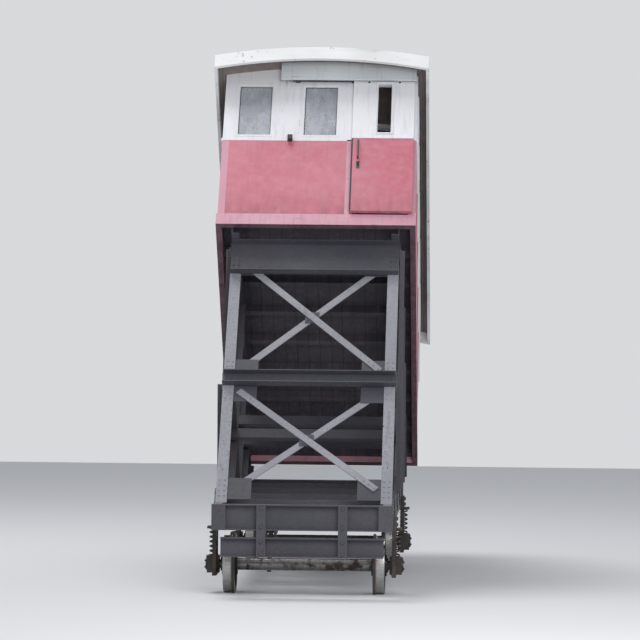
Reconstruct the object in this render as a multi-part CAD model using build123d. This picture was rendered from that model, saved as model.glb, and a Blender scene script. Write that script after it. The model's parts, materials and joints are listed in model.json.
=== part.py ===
from build123d import *
import os
from math import cos, radians, sin, tan

os.makedirs("parts", exist_ok=True)

# A funicular car: a level cabin on a wedge of riveted steel that stands on an inclined underframe.
# Sizes are in millimetres and angles in degrees. +Y points up the hill, +X to the right of someone
# who looks up the hill, and +Z straight up. The origin is on the cross bore of the rope eyes.
# The underframe is drawn on the slope: s runs up the slope and n stands square to it.

# Slope and wheels. The tread line is the one on which all four wheels stand.
GRADE = 43.0
GAUGE = 1435.0           # gauge that the wheels are set for
FLANGE_PLAY = 12.0       # what the flanges are narrower than the gauge, on each side
WHEEL_R = 280.0          # radius of the tread
WHEEL_W = 115.0          # width of the rim with its flange
FLANGE_H = 28.0
FLANGE_T = 30.0
RIM_T = 48.0
PLATE_T = 26.0           # the wheel's plate between hub and rim
PLATE_DISH = 16.0
HUB_R = 105.0
HUB_W = 150.0
SEAT_R = 70.0            # axle where a wheel is pressed on
AXLE_R = 60.0
JOURNAL_R = 45.0
JOURNAL_L = 90.0
JOURNAL_CLEARANCE = 0.05
END_AXLE_S = 640.0       # each axle from its end of the sills

# Axle boxes and their guides
BOX_GAP = 28.0           # from the wheel hub to the box
BOX_W = 120.0
BOX_S = 170.0
BOX_N = 170.0
COVER_R = 62.0
COVER_T = 14.0
GUIDE_IN = 24.0          # box's inner face to the guide's
GUIDE_T = 40.0
GUIDE_LEG = 62.0
GUIDE_UP = 120.0         # how far the guide laps up the sill
GUIDE_TIE = 26.0
GUIDE_SLACK = 0.3        # box in its guide
GUIDE_FOOT = 45.0        # how far the guide's shelf reaches in under the sill
SHELF_T = 22.0
SPRING_R = 44.0
SPRING_COILS = 3
COIL_NECK = 0.78         # radius between two coils, as a share of the coils' radius

# Underframe
FRAME_W = 1720.0         # over the sills and over the wedge's side trusses
SILL_RISE = 650.0        # underside of the sills above the tread line
SILL_DEPTH = 250.0
SILL_FLANGE = 80.0
SILL_T = 12.0
UPHILL_END = 300.0       # sill end to the short posts
DOWNHILL_END = 250.0     # sill end to the tall columns
HEADSTOCK_T = 80.0
HEADSTOCK_LAP = 15.0     # headstock beyond each sill
END_PLATE_W = 135.0      # plates that close the downhill headstock's ends
GUARD_RISE = 390.0       # underside of the guard beam above the tread line
GUARD_DEPTH = 190.0
GUARD_W = 1580.0
HANGER_W = 90.0
HANGER_T = 16.0
CROSS_FLANGE = 70.0
CROSS_AT = (0.16, 0.39, 0.62, 0.83)   # cross members, as shares of the sill from its downhill end

# Drawhead
ANCHOR_RISE = 430.0      # rope eyes above the tread line
ANCHOR_REACH = 250.0     # rope eyes beyond the uphill headstock
EYE_R = 85.0
EYE_BORE_R = 32.0
EYE_PLATE_T = 30.0
EYE_PITCH = 130.0        # between the three plates
EYE_BACK = 640.0         # length of the plates' root under the frame
EYE_HEEL = 0.6           # height at which the root's heel begins, as a share of the plates' height
EYE_BASE_T = 15.0

# Safety pawl
PAWL_X = -420.0
PAWL_S = 2900.0          # pivot, measured down the slope from the uphill end of the sills
PAWL_RISE = 510.0        # pivot above the tread line
PAWL_ARM = 430.0
PAWL_T = 44.0
PAWL_R = 62.0
PAWL_ARM_W = 80.0
PAWL_SHAFT_R = 25.0
PAWL_GAP = 12.0          # pawl to its hangers
PAWL_HANGER_T = 18.0
PAWL_HANGER_W = 198.0    # hanger and its cross beam where they meet
PAWL_TOOTH = 92.0
PAWL_TIP = 64.0          # how far the tooth's tip leads the arm's end

# Wedge trestle
POST_RUN = 3460.0        # tall columns to short posts, on the level
SHORT_POST = 250.0       # sill to floor beam at the uphill end
BAYS = 4
LEG = 110.0
LEG_T = 12.0
HEADER_DEPTH = 420.0
MIDDLE_DEPTH = 160.0
MIDDLE_DROP = 1870.0     # middle of the middle beam below the floor beams
BEAM_FLANGE = 70.0
BEAM_T = 10.0
BRACE_W = 72.0
BRACE_T = 10.0
BRACE_LIP = 48.0
BRACE_INSET = 148.0      # ends of the front braces from the columns' outer legs
BRACE_TOP_DROP = 290.0
BRACE_MIDDLE_GAP = 20.0  # between the gussets above and below the middle beam's line
BRACE_FOOT_RISE = 190.0
GUSSET_T = 10.0
GUSSET_W = 330.0
GUSSET_H = 270.0
SIDE_GUSSET = 260.0
SIDE_GUSSET_UP = 182.0   # side gussets above a sill, or below a floor beam
SIDE_GUSSET_LAP = 130.0  # side gussets on the sills and the middle rails
GUSSET_CLEAR = 10.0      # side gussets on the floor beams below the base rails
BRACE_BACK = 52.0        # ends of the side braces from their panel points
TIE_DEPTH = 120.0
TIE_FLANGE = 50.0

# Floor
BEAM_DEPTH = 160.0
JOISTS = 9
JOIST_W = 60.0
JOIST_DEPTH = 90.0
DECK_T = 30.0

# Cabin
CAB_W = 2030.0
CAB_UPHILL = 100.0       # cabin beyond the short posts
CAB_DOWNHILL = 200.0     # cabin beyond the tall columns
WALL_T = 45.0
RAIL_H = 70.0            # base rail under the walls, above the floor beams
RAIL_DROP = 80.0         # base rail down over the floor beams
RAIL_LIP = 12.0
JOINT_GAP = 0.3          # butt joints between timbers of one kind
PANEL_H = 1090.0         # red lower panels
LIGHT_H = 960.0          # white window frames
POST_W = 70.0            # corner posts
LIGHT_SILL = 70.0        # window above the waist
LIGHT_HEAD = 170.0       # window below the wall's top
SIDE_LIGHTS = 5
SIDE_LIGHT_W = 480.0
END_LIGHT_W = 340.0
END_LIGHT_IN = 325.0     # middle of the outer end light from the cabin's side
GLASS_T = 6.0

# End doors, drawn for the downhill end; the uphill end has the same, turned half round
JAMB_X = 370.0           # edge of the fixed panels
DOOR_LAP = 30.0
DOOR_T = 40.0
DOOR_GAP = 8.0           # door to wall
DOOR_FOOT = 20.0         # door above the base rail's top
DOOR_LIGHT_IN = 343.0    # middle of the door's light from the cabin's side
DOOR_LIGHT_W = 140.0
HEAD_RAIL = 130.0        # wall over the doorway
TRACK_T = 12.0
TRACK_H = 55.0
TRACK_DROP = 60.0        # top of the track below the wall's top
TRACK_HOLD = 50.0
DOOR_TOP_GAP = 10.0
ROLLER_R = 26.0
ROLLER_W = 22.0
ROLLER_GAP = 0.3
STRAP_W = 46.0
STRAP_T = 8.0
BOARD_LAP = 125.0        # header board beyond the track
BOARD_IN = 15.0          # header board's end from the cabin's side
BOARD_T = 18.0
BOARD_FOOT = 150.0       # header board's lower edge below the wall's top
BOARD_REACH = 95.0       # header board's front in front of the wall
STOP_H = 60.0
STOP_W = 50.0
HANDLE_H = 240.0
HANDLE_R = 9.0
HANDLE_IN = 70.0         # handle from the door's free edge
HANDLE_DROP = 210.0      # middle of the handle below the waist
HANDLE_REACH = 42.0      # middle of the grip in front of the door

# Roof
ROOF_RISE = 110.0        # crown above the eaves
ROOF_T = 35.0
ROOF_SIDE = 115.0        # overhang at the sides
ROOF_END = 280.0         # overhang at the ends
FASCIA_T = 30.0
FASCIA_DEPTH = 140.0
BOWS = 6
BOW_W = 40.0
BOW_DEPTH = 55.0

# Inside
SEAT_H = 430.0
SEAT_D = 380.0
SEAT_T = 30.0
BACK_H = 430.0
BACK_T = 24.0
SEAT_SLATS = 4
BACK_SLATS = 3
SLAT_GAP = 14.0
STANDARD_T = 36.0
STANDARD_W = 60.0
BENCH_CLEAR = 760.0      # from the end wall with the door to the bench
BENCH_END = 60.0
BENCH_LEGS = 4
POLE_R = 19.0
POLE_X = 330.0
POLE_IN = 1250.0
LAMP_R = 130.0
LAMP_H = 70.0

TILT = Location((0, 0, 0), (GRADE, 0, 0))
HALF = Plane.YZ

RAIL_N = -ANCHOR_RISE
AXLE_N = RAIL_N + WHEEL_R
SILL_LOW_N = RAIL_N + SILL_RISE
SILL_TOP_N = SILL_LOW_N + SILL_DEPTH
UP_S = -ANCHOR_REACH - HEADSTOCK_T
DOWN_S = UP_S - UPHILL_END - POST_RUN / cos(radians(GRADE)) - DOWNHILL_END
OUT_X = FRAME_W / 2


def slope_y(s, n):
    """Level distance of a point that is given on the slope."""
    return s * cos(radians(GRADE)) - n * sin(radians(GRADE))


def slope_z(y, n):
    """Height of the plane at n over the level distance y."""
    return y * tan(radians(GRADE)) + n / cos(radians(GRADE))


SHORT_Y = slope_y(UP_S - UPHILL_END, SILL_TOP_N)
TALL_Y = SHORT_Y - POST_RUN
FLOOR_Z = slope_z(SHORT_Y, SILL_TOP_N) + SHORT_POST
FOOT_Z = slope_z(TALL_Y, SILL_TOP_N)
MIDDLE_Z = FLOOR_Z - MIDDLE_DROP
CAB_FRONT = TALL_Y - CAB_DOWNHILL
CAB_BACK = SHORT_Y + CAB_UPHILL
CAB_MIDDLE = (CAB_FRONT + CAB_BACK) / 2
SIDE_X = CAB_W / 2
BASE_Z = FLOOR_Z + BEAM_DEPTH
DECK_Z = BASE_Z + JOIST_DEPTH + DECK_T
PANEL_Z = BASE_Z + RAIL_H
WAIST_Z = PANEL_Z + PANEL_H
EAVES_Z = WAIST_Z + LIGHT_H
ROOF_R = (SIDE_X ** 2 + ROOF_RISE ** 2) / (2 * ROOF_RISE)
ROOF_CENTRE_Z = EAVES_Z + ROOF_RISE - ROOF_R
HALF_TURN = Location((0, 2 * CAB_MIDDLE, 0), (0, 0, 180))


def block(x, y, z):
    """A box between three pairs of limits."""
    size = [max(pair) - min(pair) for pair in (x, y, z)]
    centre = [(pair[0] + pair[1]) / 2 for pair in (x, y, z)]
    return Pos(*centre) * Box(*size)


def both(solid):
    """A solid and its mirror image on the other side of the car."""
    return [solid, mirror(solid, about=HALF)]


def tilted(solids):
    return [TILT * solid for solid in solids]


def turned(solids):
    """The same solids for the uphill end."""
    return [HALF_TURN * solid for solid in solids]


def span(middle, width):
    return (middle - width / 2, middle + width / 2)


def channel(depth, flange, thick):
    """Channel section: web on the X=0 line, flanges towards +X, depth centred."""
    half = depth / 2
    inner = half - thick
    return Polygon((0, -half), (flange, -half), (flange, -inner), (thick, -inner),
                   (thick, inner), (flange, inner), (flange, half), (0, half), align=None)


def bar(section, start, end, x_dir):
    """A section pushed straight from one point to another, its own X along x_dir."""
    run = Vector(*end) - Vector(*start)
    return extrude(Plane(origin=start, x_dir=x_dir, z_dir=run) * section, amount=run.length)


def plate(outline, x):
    """A plate that lies square to X, from an outline in Y and Z, between two limits of X."""
    return extrude(Plane.YZ.offset(min(x)) * outline, amount=max(x) - min(x))


def front_plate(outline, y):
    """A plate that lies square to Y, from an outline in X and Z, between two limits of Y."""
    return extrude(Plane.XZ.offset(-max(y)) * outline, amount=max(y) - min(y))


# Wheels, axles, boxes and guides, all drawn on the slope

FLANGE_FACE = GAUGE / 2 - FLANGE_PLAY
RIM_BACK = FLANGE_FACE - FLANGE_T
RIM_FRONT = RIM_BACK + WHEEL_W
WHEEL_X = (RIM_BACK + RIM_FRONT) / 2
HUB_FRONT = WHEEL_X + HUB_W / 2
BOX_X = HUB_FRONT + BOX_GAP
AXLE_END = BOX_X + JOURNAL_L
AXLES = {"downhill": DOWN_S + END_AXLE_S, "uphill": UP_S - END_AXLE_S}


def wheel(s):
    """A plate wheel: hub, dished plate, rim and flange, turned about its axle."""
    rim_r = WHEEL_R - RIM_T
    back = WHEEL_X - PLATE_T / 2
    front = WHEEL_X + PLATE_T / 2
    hub_back = WHEEL_X - HUB_W / 2
    outline = Polygon(
        (hub_back, SEAT_R), (HUB_FRONT, SEAT_R), (HUB_FRONT, HUB_R), (front + PLATE_DISH, HUB_R),
        (front, rim_r), (RIM_FRONT, rim_r), (RIM_FRONT, WHEEL_R), (FLANGE_FACE + FLANGE_T / 4, WHEEL_R),
        (FLANGE_FACE - FLANGE_T / 4, WHEEL_R + FLANGE_H), (RIM_BACK, WHEEL_R + FLANGE_H),
        (RIM_BACK, rim_r), (back, rim_r), (back + PLATE_DISH, HUB_R), (hub_back, HUB_R), align=None)
    return Pos(0, s, AXLE_N) * revolve(outline, axis=Axis.X)


def axle(s):
    """A stepped axle from journal to journal."""
    hub_back = WHEEL_X - HUB_W / 2
    shoulder = (HUB_FRONT + BOX_X) / 2
    steps = [(0, AXLE_R), (hub_back, AXLE_R), (hub_back, SEAT_R), (shoulder, SEAT_R),
             (shoulder, JOURNAL_R), (AXLE_END, JOURNAL_R)]
    right = [(x, r) for x, r in steps if x > 0]
    left = [(-x, r) for x, r in reversed(right)]
    outline = Polygon((-AXLE_END, 0), *left, *right, (AXLE_END, 0), align=None)
    return Pos(0, s, AXLE_N) * revolve(outline, axis=Axis.X)


GUIDE_X = (BOX_X + GUIDE_IN, BOX_X + GUIDE_IN + GUIDE_T)
GUIDE_SLOT = BOX_S + 2 * GUIDE_SLACK
GUIDE_TOP_N = SILL_LOW_N + GUIDE_UP
SLOT_TOP_N = SILL_LOW_N - SHELF_T
BOX_LOW_N = AXLE_N - BOX_N / 2
BOX_TOP_N = AXLE_N + BOX_N / 2


def axle_box(s):
    body = block((BOX_X, BOX_X + BOX_W), (s - BOX_S / 2, s + BOX_S / 2), (BOX_LOW_N, BOX_TOP_N))
    seat = Plane(origin=(BOX_X + BOX_W, s, AXLE_N), z_dir=(1, 0, 0))
    cover = extrude(seat * Circle(COVER_R), amount=COVER_T)
    mouth = Plane(origin=(BOX_X, s, AXLE_N), z_dir=(1, 0, 0))
    bore = extrude(mouth * Circle(JOURNAL_R + JOURNAL_CLEARANCE), amount=JOURNAL_L + BOX_GAP / 4)
    return body + cover - bore


def guide(s):
    """A horn guide: two legs and a tie round the box, a lap on the sill, and a shelf over the spring.

    The legs take their place from the box and the lap takes its own from the sill. The shelf
    joins them and reaches in under the sill."""
    half = GUIDE_SLOT / 2 + GUIDE_LEG
    length = (s - half, s + half)
    legs = block(GUIDE_X, length, (BOX_LOW_N - GUIDE_TIE, SILL_LOW_N))
    slot = block(GUIDE_X, (s - GUIDE_SLOT / 2, s + GUIDE_SLOT / 2), (BOX_LOW_N, SLOT_TOP_N))
    lap = plate(Polygon((s - half, SLOT_TOP_N), (s + half, SLOT_TOP_N), (s + half, SILL_LOW_N),
                        (s + half - GUIDE_LEG, GUIDE_TOP_N), (s - half + GUIDE_LEG, GUIDE_TOP_N),
                        (s - half, SILL_LOW_N), align=None), (OUT_X, OUT_X + GUIDE_T))
    thick = (SLOT_TOP_N, SILL_LOW_N)
    foot = block((OUT_X - GUIDE_FOOT, GUIDE_X[1]), length, thick)
    link = block((GUIDE_X[0], OUT_X + GUIDE_T), length, thick)
    shelf = block((GUIDE_X[0], BOX_X + BOX_W), (s - GUIDE_SLOT / 2, s + GUIDE_SLOT / 2), thick)
    return legs - slot + lap + foot + link + shelf


def spring(s):
    """A stack of coils between box and shelf, drawn as one grooved column."""
    height = SLOT_TOP_N - BOX_TOP_N
    pitch = height / SPRING_COILS
    side = [(0, 0)]
    for turn in range(SPRING_COILS):
        side += [(SPRING_R * COIL_NECK, turn * pitch), (SPRING_R, (turn + 0.5) * pitch)]
    side += [(SPRING_R * COIL_NECK, height), (0, height)]
    outline = Plane.XZ * Polygon(*side, align=None)
    return Pos(BOX_X + BOX_W / 2, s, BOX_TOP_N) * revolve(outline, axis=Axis.Z)


# Underframe

def side_sill():
    middle_n = SILL_LOW_N + SILL_DEPTH / 2
    return bar(channel(SILL_DEPTH, SILL_FLANGE, SILL_T), (OUT_X, DOWN_S, middle_n),
               (OUT_X, UP_S, middle_n), (-1, 0, 0))


def headstock(s, outward):
    """End beam across the sills' ends, its web against them and its flanges outward."""
    half = OUT_X + HEADSTOCK_LAP
    middle_n = SILL_LOW_N + SILL_DEPTH / 2
    return bar(channel(SILL_DEPTH, HEADSTOCK_T, SILL_T), (-half, s, middle_n),
               (half, s, middle_n), (0, outward, 0))


def headstock_end_plates():
    """Upright plates that close the ends of the downhill headstock."""
    face = DOWN_S - HEADSTOCK_T
    outer = OUT_X + HEADSTOCK_LAP
    return both(block((outer - END_PLATE_W, outer), (face - GUSSET_T, face), (SILL_LOW_N, SILL_TOP_N)))


def guard_beam():
    """Low beam across the wheels at the downhill end, on two hangers before both beams' flanges."""
    low = RAIL_N + GUARD_RISE
    face = DOWN_S - HEADSTOCK_T
    beam = bar(channel(GUARD_DEPTH, HEADSTOCK_T, SILL_T), (-GUARD_W / 2, DOWN_S, low + GUARD_DEPTH / 2),
               (GUARD_W / 2, DOWN_S, low + GUARD_DEPTH / 2), (0, -1, 0))
    for x in (-GUARD_W / 4, GUARD_W / 4):
        beam = beam + block(span(x, HANGER_W), (face - HANGER_T, face), (low, SILL_TOP_N))
    return beam


def cross_member(share):
    s = DOWN_S + share * (UP_S - DOWN_S)
    half = OUT_X - SILL_FLANGE
    middle_n = SILL_LOW_N + SILL_DEPTH / 2
    return bar(channel(SILL_DEPTH, CROSS_FLANGE, SILL_T), (-half, s, middle_n),
               (half, s, middle_n), (0, 1, 0))


def drawhead():
    """Three plates with one cross bore for two rope sockets, on a base under the frame."""
    top = SILL_LOW_N - EYE_BASE_T
    root = -ANCHOR_REACH
    back = root - EYE_BACK
    web = Polygon((0, EYE_R), (root, top), (back, top), (back, top * EYE_HEEL), (root, -EYE_R),
                  (0, -EYE_R), align=None)
    outline = Circle(EYE_R) + web - Circle(EYE_BORE_R)
    solid = block((-EYE_PITCH - EYE_PLATE_T / 2, EYE_PITCH + EYE_PLATE_T / 2), (back, root),
                  (top, SILL_LOW_N))
    for x in (-EYE_PITCH, 0, EYE_PITCH):
        solid = solid + plate(outline, (x - EYE_PLATE_T / 2, x + EYE_PLATE_T / 2))
    return solid


# Safety pawl: an arm that hangs plumb from its shaft, with a tooth that points up the slope

PAWL_PIVOT_S = UP_S - PAWL_S
PAWL_PIVOT_N = RAIL_N + PAWL_RISE
PAWL_ANGLE = 270.0 - GRADE


def pawl():
    arm_half = PAWL_ARM_W / 2
    eye = Circle(PAWL_R) + Pos(PAWL_ARM / 2, 0) * Rectangle(PAWL_ARM, PAWL_ARM_W)
    tooth = Polygon((PAWL_ARM - PAWL_TOOTH, -arm_half), (PAWL_ARM, -arm_half),
                    (PAWL_ARM + PAWL_TIP, PAWL_R), (PAWL_ARM - PAWL_TOOTH, arm_half), align=None)
    bore = Circle(PAWL_SHAFT_R + JOURNAL_CLEARANCE)
    outline = Rot(0, 0, PAWL_ANGLE) * (eye + tooth - bore)
    return Pos(0, PAWL_PIVOT_S, PAWL_PIVOT_N) * plate(outline, span(PAWL_X, PAWL_T))


def pawl_hanger():
    """Two cheeks under a cross beam of their own, with the pawl's shaft between them."""
    inner = PAWL_T / 2 + PAWL_GAP
    outer = inner + PAWL_HANGER_T
    half_top = PAWL_HANGER_W / 2
    rise = SILL_LOW_N - PAWL_PIVOT_N
    cheek = Circle(PAWL_R) + Polygon((-PAWL_R, 0), (PAWL_R, 0), (half_top, rise), (-half_top, rise), align=None)
    seat = Pos(0, PAWL_PIVOT_S, PAWL_PIVOT_N)
    left = plate(cheek, (PAWL_X - outer, PAWL_X - inner))
    right = plate(cheek, (PAWL_X + inner, PAWL_X + outer))
    shaft = plate(Circle(PAWL_SHAFT_R), (PAWL_X - outer - PAWL_HANGER_T, PAWL_X + outer + PAWL_HANGER_T))
    half = OUT_X - SILL_FLANGE
    beam = block((-half, half), span(PAWL_PIVOT_S, PAWL_HANGER_W), (SILL_LOW_N, SILL_LOW_N + SILL_T))
    return seat * (left + right + shaft) + beam


# Wedge trestle, drawn upright

BELOW_SILL = TILT * block((-OUT_X, OUT_X), (DOWN_S - SILL_DEPTH, UP_S + SILL_DEPTH),
                          (SILL_TOP_N - POST_RUN, SILL_TOP_N))
POST_Y = [TALL_Y + bay * POST_RUN / BAYS for bay in range(BAYS + 1)]


def upright(points, y):
    """A post from an outline in X and Y, from the sill up to the floor beam."""
    section = Pos(0, y, FOOT_Z - LEG) * Polygon(*points, align=None)
    return extrude(section, amount=FLOOR_Z - FOOT_Z + LEG) - BELOW_SILL


def tall_column():
    inner = OUT_X - LEG
    return upright([(inner, 0), (OUT_X, 0), (OUT_X, LEG), (OUT_X - LEG_T, LEG),
                    (OUT_X - LEG_T, LEG_T), (inner, LEG_T)], TALL_Y)


def side_post(y):
    inner = OUT_X - LEG
    half = LEG / 2
    return upright([(OUT_X, -half), (OUT_X, half), (inner, half), (inner, half - LEG_T),
                    (OUT_X - LEG_T, half - LEG_T), (OUT_X - LEG_T, -half)], y)


def front_beam(low, high):
    section = channel(high - low, BEAM_FLANGE, BEAM_T)
    middle = (low + high) / 2
    return bar(section, (-OUT_X, TALL_Y, middle), (OUT_X, TALL_Y, middle), (0, -1, 0))


# Front bracing: (level of the upper ends, level of the lower ends) of each cross
MIDDLE_RISE = (GUSSET_H + BRACE_MIDDLE_GAP) / 2
TIERS = [(FLOOR_Z - BRACE_TOP_DROP, MIDDLE_Z + MIDDLE_RISE),
         (MIDDLE_Z - MIDDLE_RISE, FOOT_Z + BRACE_FOOT_RISE)]
GUSSET_Y = (TALL_Y + LEG_T, TALL_Y + LEG_T + GUSSET_T)
BRACE_END_X = OUT_X - LEG_T - BRACE_INSET


def front_braces():
    """In each tier a flat bar before the gussets and an angle bar behind them."""
    flat = Pos(0, -BRACE_T / 2) * Rectangle(BRACE_W, BRACE_T)
    leg = Pos(0, BRACE_T / 2) * Rectangle(BRACE_W, BRACE_T)
    lip = Pos(BRACE_W / 2 - BRACE_T / 2, BRACE_LIP / 2) * Rectangle(BRACE_T, BRACE_LIP)
    solids = []
    for top, foot in TIERS:
        for section, side, y in ((flat, 1, GUSSET_Y[0]), (leg + lip, -1, GUSSET_Y[1])):
            start = (-side * BRACE_END_X, y, top)
            end = (side * BRACE_END_X, y, foot)
            run = Vector(*end) - Vector(*start)
            across = Vector(0, 1, 0).cross(run)
            solids.append(bar(section, start, end, across))
    return solids


def front_gussets():
    """A plate at each end of each cross, and a packing plate where its bars cross."""
    solids = []
    for top, foot in TIERS:
        for level in (top, foot):
            x = (OUT_X - LEG_T - GUSSET_W, OUT_X - LEG_T)
            solids += both(block(x, GUSSET_Y, (level - GUSSET_H / 2, level + GUSSET_H / 2)))
        middle = (top + foot) / 2
        solids.append(block((-BRACE_W, BRACE_W), GUSSET_Y, (middle - BRACE_W, middle + BRACE_W)))
    return [solid - BELOW_SILL for solid in solids]


def middle_rails():
    """Level rails between the posts at the height of the front's middle beam."""
    solids = []
    for near, far in ((TALL_Y + LEG, POST_Y[1] - LEG / 2), (POST_Y[1] + LEG / 2, POST_Y[2] - LEG / 2)):
        rail = block((OUT_X - LEG_T, OUT_X), (near, far), (MIDDLE_Z - LEG / 2, MIDDLE_Z + LEG / 2))
        shelf = block((OUT_X - LEG, OUT_X - LEG_T), (near, far),
                      (MIDDLE_Z + LEG / 2 - LEG_T, MIDDLE_Z + LEG / 2))
        solids += both(rail + shelf - BELOW_SILL)
    return solids


def sill_level(y):
    return slope_z(y, SILL_TOP_N)


# Side panel points, where plates tie the posts to what they meet: (post's place, height)
FLOOR_POINTS = [(y, FLOOR_Z) for y in POST_Y]
FLOOR_LAP = BEAM_DEPTH - RAIL_DROP - GUSSET_CLEAR
SILL_POINTS = [(y, sill_level(y)) for y in POST_Y]
MIDDLE_POINTS = [(y, MIDDLE_Z) for y in POST_Y[:2]]
# Side braces: (panel point of the upper end, panel point of the lower end)
SIDE_BRACES = [(FLOOR_POINTS[0], MIDDLE_POINTS[1]), (MIDDLE_POINTS[0], SILL_POINTS[1])]
SIDE_BRACES += list(zip(FLOOR_POINTS[1:], SILL_POINTS[2:]))


def side_gusset(point, up, down):
    """A plate on the outer faces, centred on its post, or on the tall column flush with its front."""
    y, level = point
    near = TALL_Y if y == TALL_Y else y - SIDE_GUSSET / 2
    return block((OUT_X, OUT_X + GUSSET_T), (near, near + SIDE_GUSSET), (level - down, level + up))


def side_gussets():
    """Plates at all panel points; at the short posts one plate reaches from sill to floor beam."""
    right = [side_gusset(point, FLOOR_LAP, SIDE_GUSSET_UP) for point in FLOOR_POINTS[:-1]]
    right += [side_gusset(point, SIDE_GUSSET_LAP, SIDE_GUSSET_LAP) for point in MIDDLE_POINTS]
    right += [side_gusset(point, SIDE_GUSSET_UP, SIDE_GUSSET_LAP) for point in SILL_POINTS[:-1]]
    right.append(side_gusset(FLOOR_POINTS[-1], FLOOR_LAP, SHORT_POST + SIDE_GUSSET_LAP))
    return [solid for gusset in right for solid in both(gusset)]


def side_braces():
    """Flat-and-lip bars laid on the gussets' outer faces, from panel point to panel point."""
    leg = Pos(0, BRACE_T / 2) * Rectangle(BRACE_W, BRACE_T)
    lip = Pos(BRACE_W / 2 - BRACE_T / 2, BRACE_LIP / 2) * Rectangle(BRACE_T, BRACE_LIP)
    solids = []
    for high, low in SIDE_BRACES:
        start = Vector(OUT_X + GUSSET_T, *high)
        end = Vector(OUT_X + GUSSET_T, *low)
        along = (end - start).normalized()
        start = start + along * BRACE_BACK
        end = end - along * BRACE_BACK
        across = Vector(1, 0, 0).cross(along)
        solids += both(bar(leg + lip, tuple(start), tuple(end), across))
    return solids


def cross_ties():
    """Channels across the wedge between the inner faces of the side posts."""
    solids = []
    half = OUT_X - LEG_T
    for post, level in ((1, MIDDLE_Z), (2, MIDDLE_Z + MIDDLE_DROP / 2), (3, FLOOR_Z - MIDDLE_DROP / 4)):
        y = POST_Y[post] - LEG / 2
        section = channel(TIE_DEPTH, TIE_FLANGE, BEAM_T)
        solids.append(bar(section, (-half, y, level), (half, y, level), (0, 1, 0)))
    return solids


# Floor

INNER_X = SIDE_X - WALL_T
INNER_Y = (CAB_FRONT + WALL_T, CAB_BACK - WALL_T)


def floor_beam():
    section = channel(BEAM_DEPTH, SILL_FLANGE, BEAM_T)
    middle = FLOOR_Z + BEAM_DEPTH / 2
    return bar(section, (OUT_X, INNER_Y[0], middle), (OUT_X, INNER_Y[1], middle), (-1, 0, 0))


def floor_joists():
    first = INNER_Y[0] + JOIST_W / 2
    pitch = (INNER_Y[1] - INNER_Y[0] - JOIST_W) / (JOISTS - 1)
    return [block((-INNER_X, INNER_X), (first + i * pitch - JOIST_W / 2, first + i * pitch + JOIST_W / 2),
                  (BASE_Z, BASE_Z + JOIST_DEPTH)) for i in range(JOISTS)]


def floor_deck():
    return block((-INNER_X, INNER_X), INNER_Y, (BASE_Z + JOIST_DEPTH, DECK_Z))


def base_rails():
    """Boards under the walls: one across each end, and the side ones between them."""
    out = SIDE_X + RAIL_LIP
    z = (BASE_Z - RAIL_DROP, PANEL_Z)
    end = block((-out, out), (CAB_FRONT - RAIL_LIP, INNER_Y[0]), z)
    side = block((INNER_X, out), (INNER_Y[0] + JOINT_GAP, INNER_Y[1] - JOINT_GAP), z)
    return [end, HALF_TURN * end] + both(side)


# Cabin walls

def corner_posts():
    """Square posts, notched at the foot over the deck's corners."""
    x = (SIDE_X - POST_W, SIDE_X)
    z = (PANEL_Z, EAVES_Z)
    over_deck = block((-INNER_X, INNER_X), INNER_Y, (PANEL_Z, DECK_Z))
    posts = both(block(x, (CAB_FRONT, CAB_FRONT + POST_W), z))
    posts += both(block(x, (CAB_BACK - POST_W, CAB_BACK), z))
    return [post - over_deck for post in posts]


WALL_Y = (CAB_FRONT + POST_W, CAB_BACK - POST_W)
LIGHT_Z = (WAIST_Z + LIGHT_SILL, EAVES_Z - LIGHT_HEAD)
SIDE_LIGHT_Y = [WALL_Y[0] + (i + 0.5) * (WALL_Y[1] - WALL_Y[0]) / SIDE_LIGHTS for i in range(SIDE_LIGHTS)]
END_LIGHT_X = (END_LIGHT_IN - SIDE_X, 0.0)
SIDE_WALL = (INNER_X, SIDE_X)
END_WALL = (CAB_FRONT, CAB_FRONT + WALL_T)


def side_frame():
    frame = block(SIDE_WALL, WALL_Y, (WAIST_Z, EAVES_Z))
    for y in SIDE_LIGHT_Y:
        frame = frame - block(SIDE_WALL, span(y, SIDE_LIGHT_W), LIGHT_Z)
    return frame


def end_frame():
    """Window frame of an end wall, under the head rail and beside the doorway."""
    frame = block((POST_W - SIDE_X, JAMB_X), END_WALL, (WAIST_Z, EAVES_Z - HEAD_RAIL))
    for x in END_LIGHT_X:
        frame = frame - block(span(x, END_LIGHT_W), END_WALL, LIGHT_Z)
    return frame


def window_glass():
    x = span((INNER_X + SIDE_X) / 2, GLASS_T)
    panes = []
    for y in SIDE_LIGHT_Y:
        panes += both(block(x, span(y, SIDE_LIGHT_W), LIGHT_Z))
    depth = span((END_WALL[0] + END_WALL[1]) / 2, GLASS_T)
    for middle in END_LIGHT_X:
        pane = block(span(middle, END_LIGHT_W), depth, LIGHT_Z)
        panes += [pane, HALF_TURN * pane]
    return panes


# End doors

DOOR_X = (JAMB_X - DOOR_LAP, SIDE_X - DOOR_LAP)
DOOR_Y = (CAB_FRONT - DOOR_GAP - DOOR_T, CAB_FRONT - DOOR_GAP)
TRACK_Z = (EAVES_Z - TRACK_DROP - TRACK_H, EAVES_Z - TRACK_DROP)
TRACK_Y = span((DOOR_Y[0] + DOOR_Y[1]) / 2, TRACK_T)
DOOR_TOP_Z = TRACK_Z[0] - DOOR_TOP_GAP
DOOR_FOOT_Z = PANEL_Z + DOOR_FOOT
DOOR_TRAVEL = DOOR_X[1] - DOOR_X[0] - DOOR_LAP
TRACK_X = (DOOR_X[0] - DOOR_TRAVEL - DOOR_LAP, DOOR_X[1])


def door_panel():
    return block(DOOR_X, DOOR_Y, (DOOR_FOOT_Z, WAIST_Z))


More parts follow.
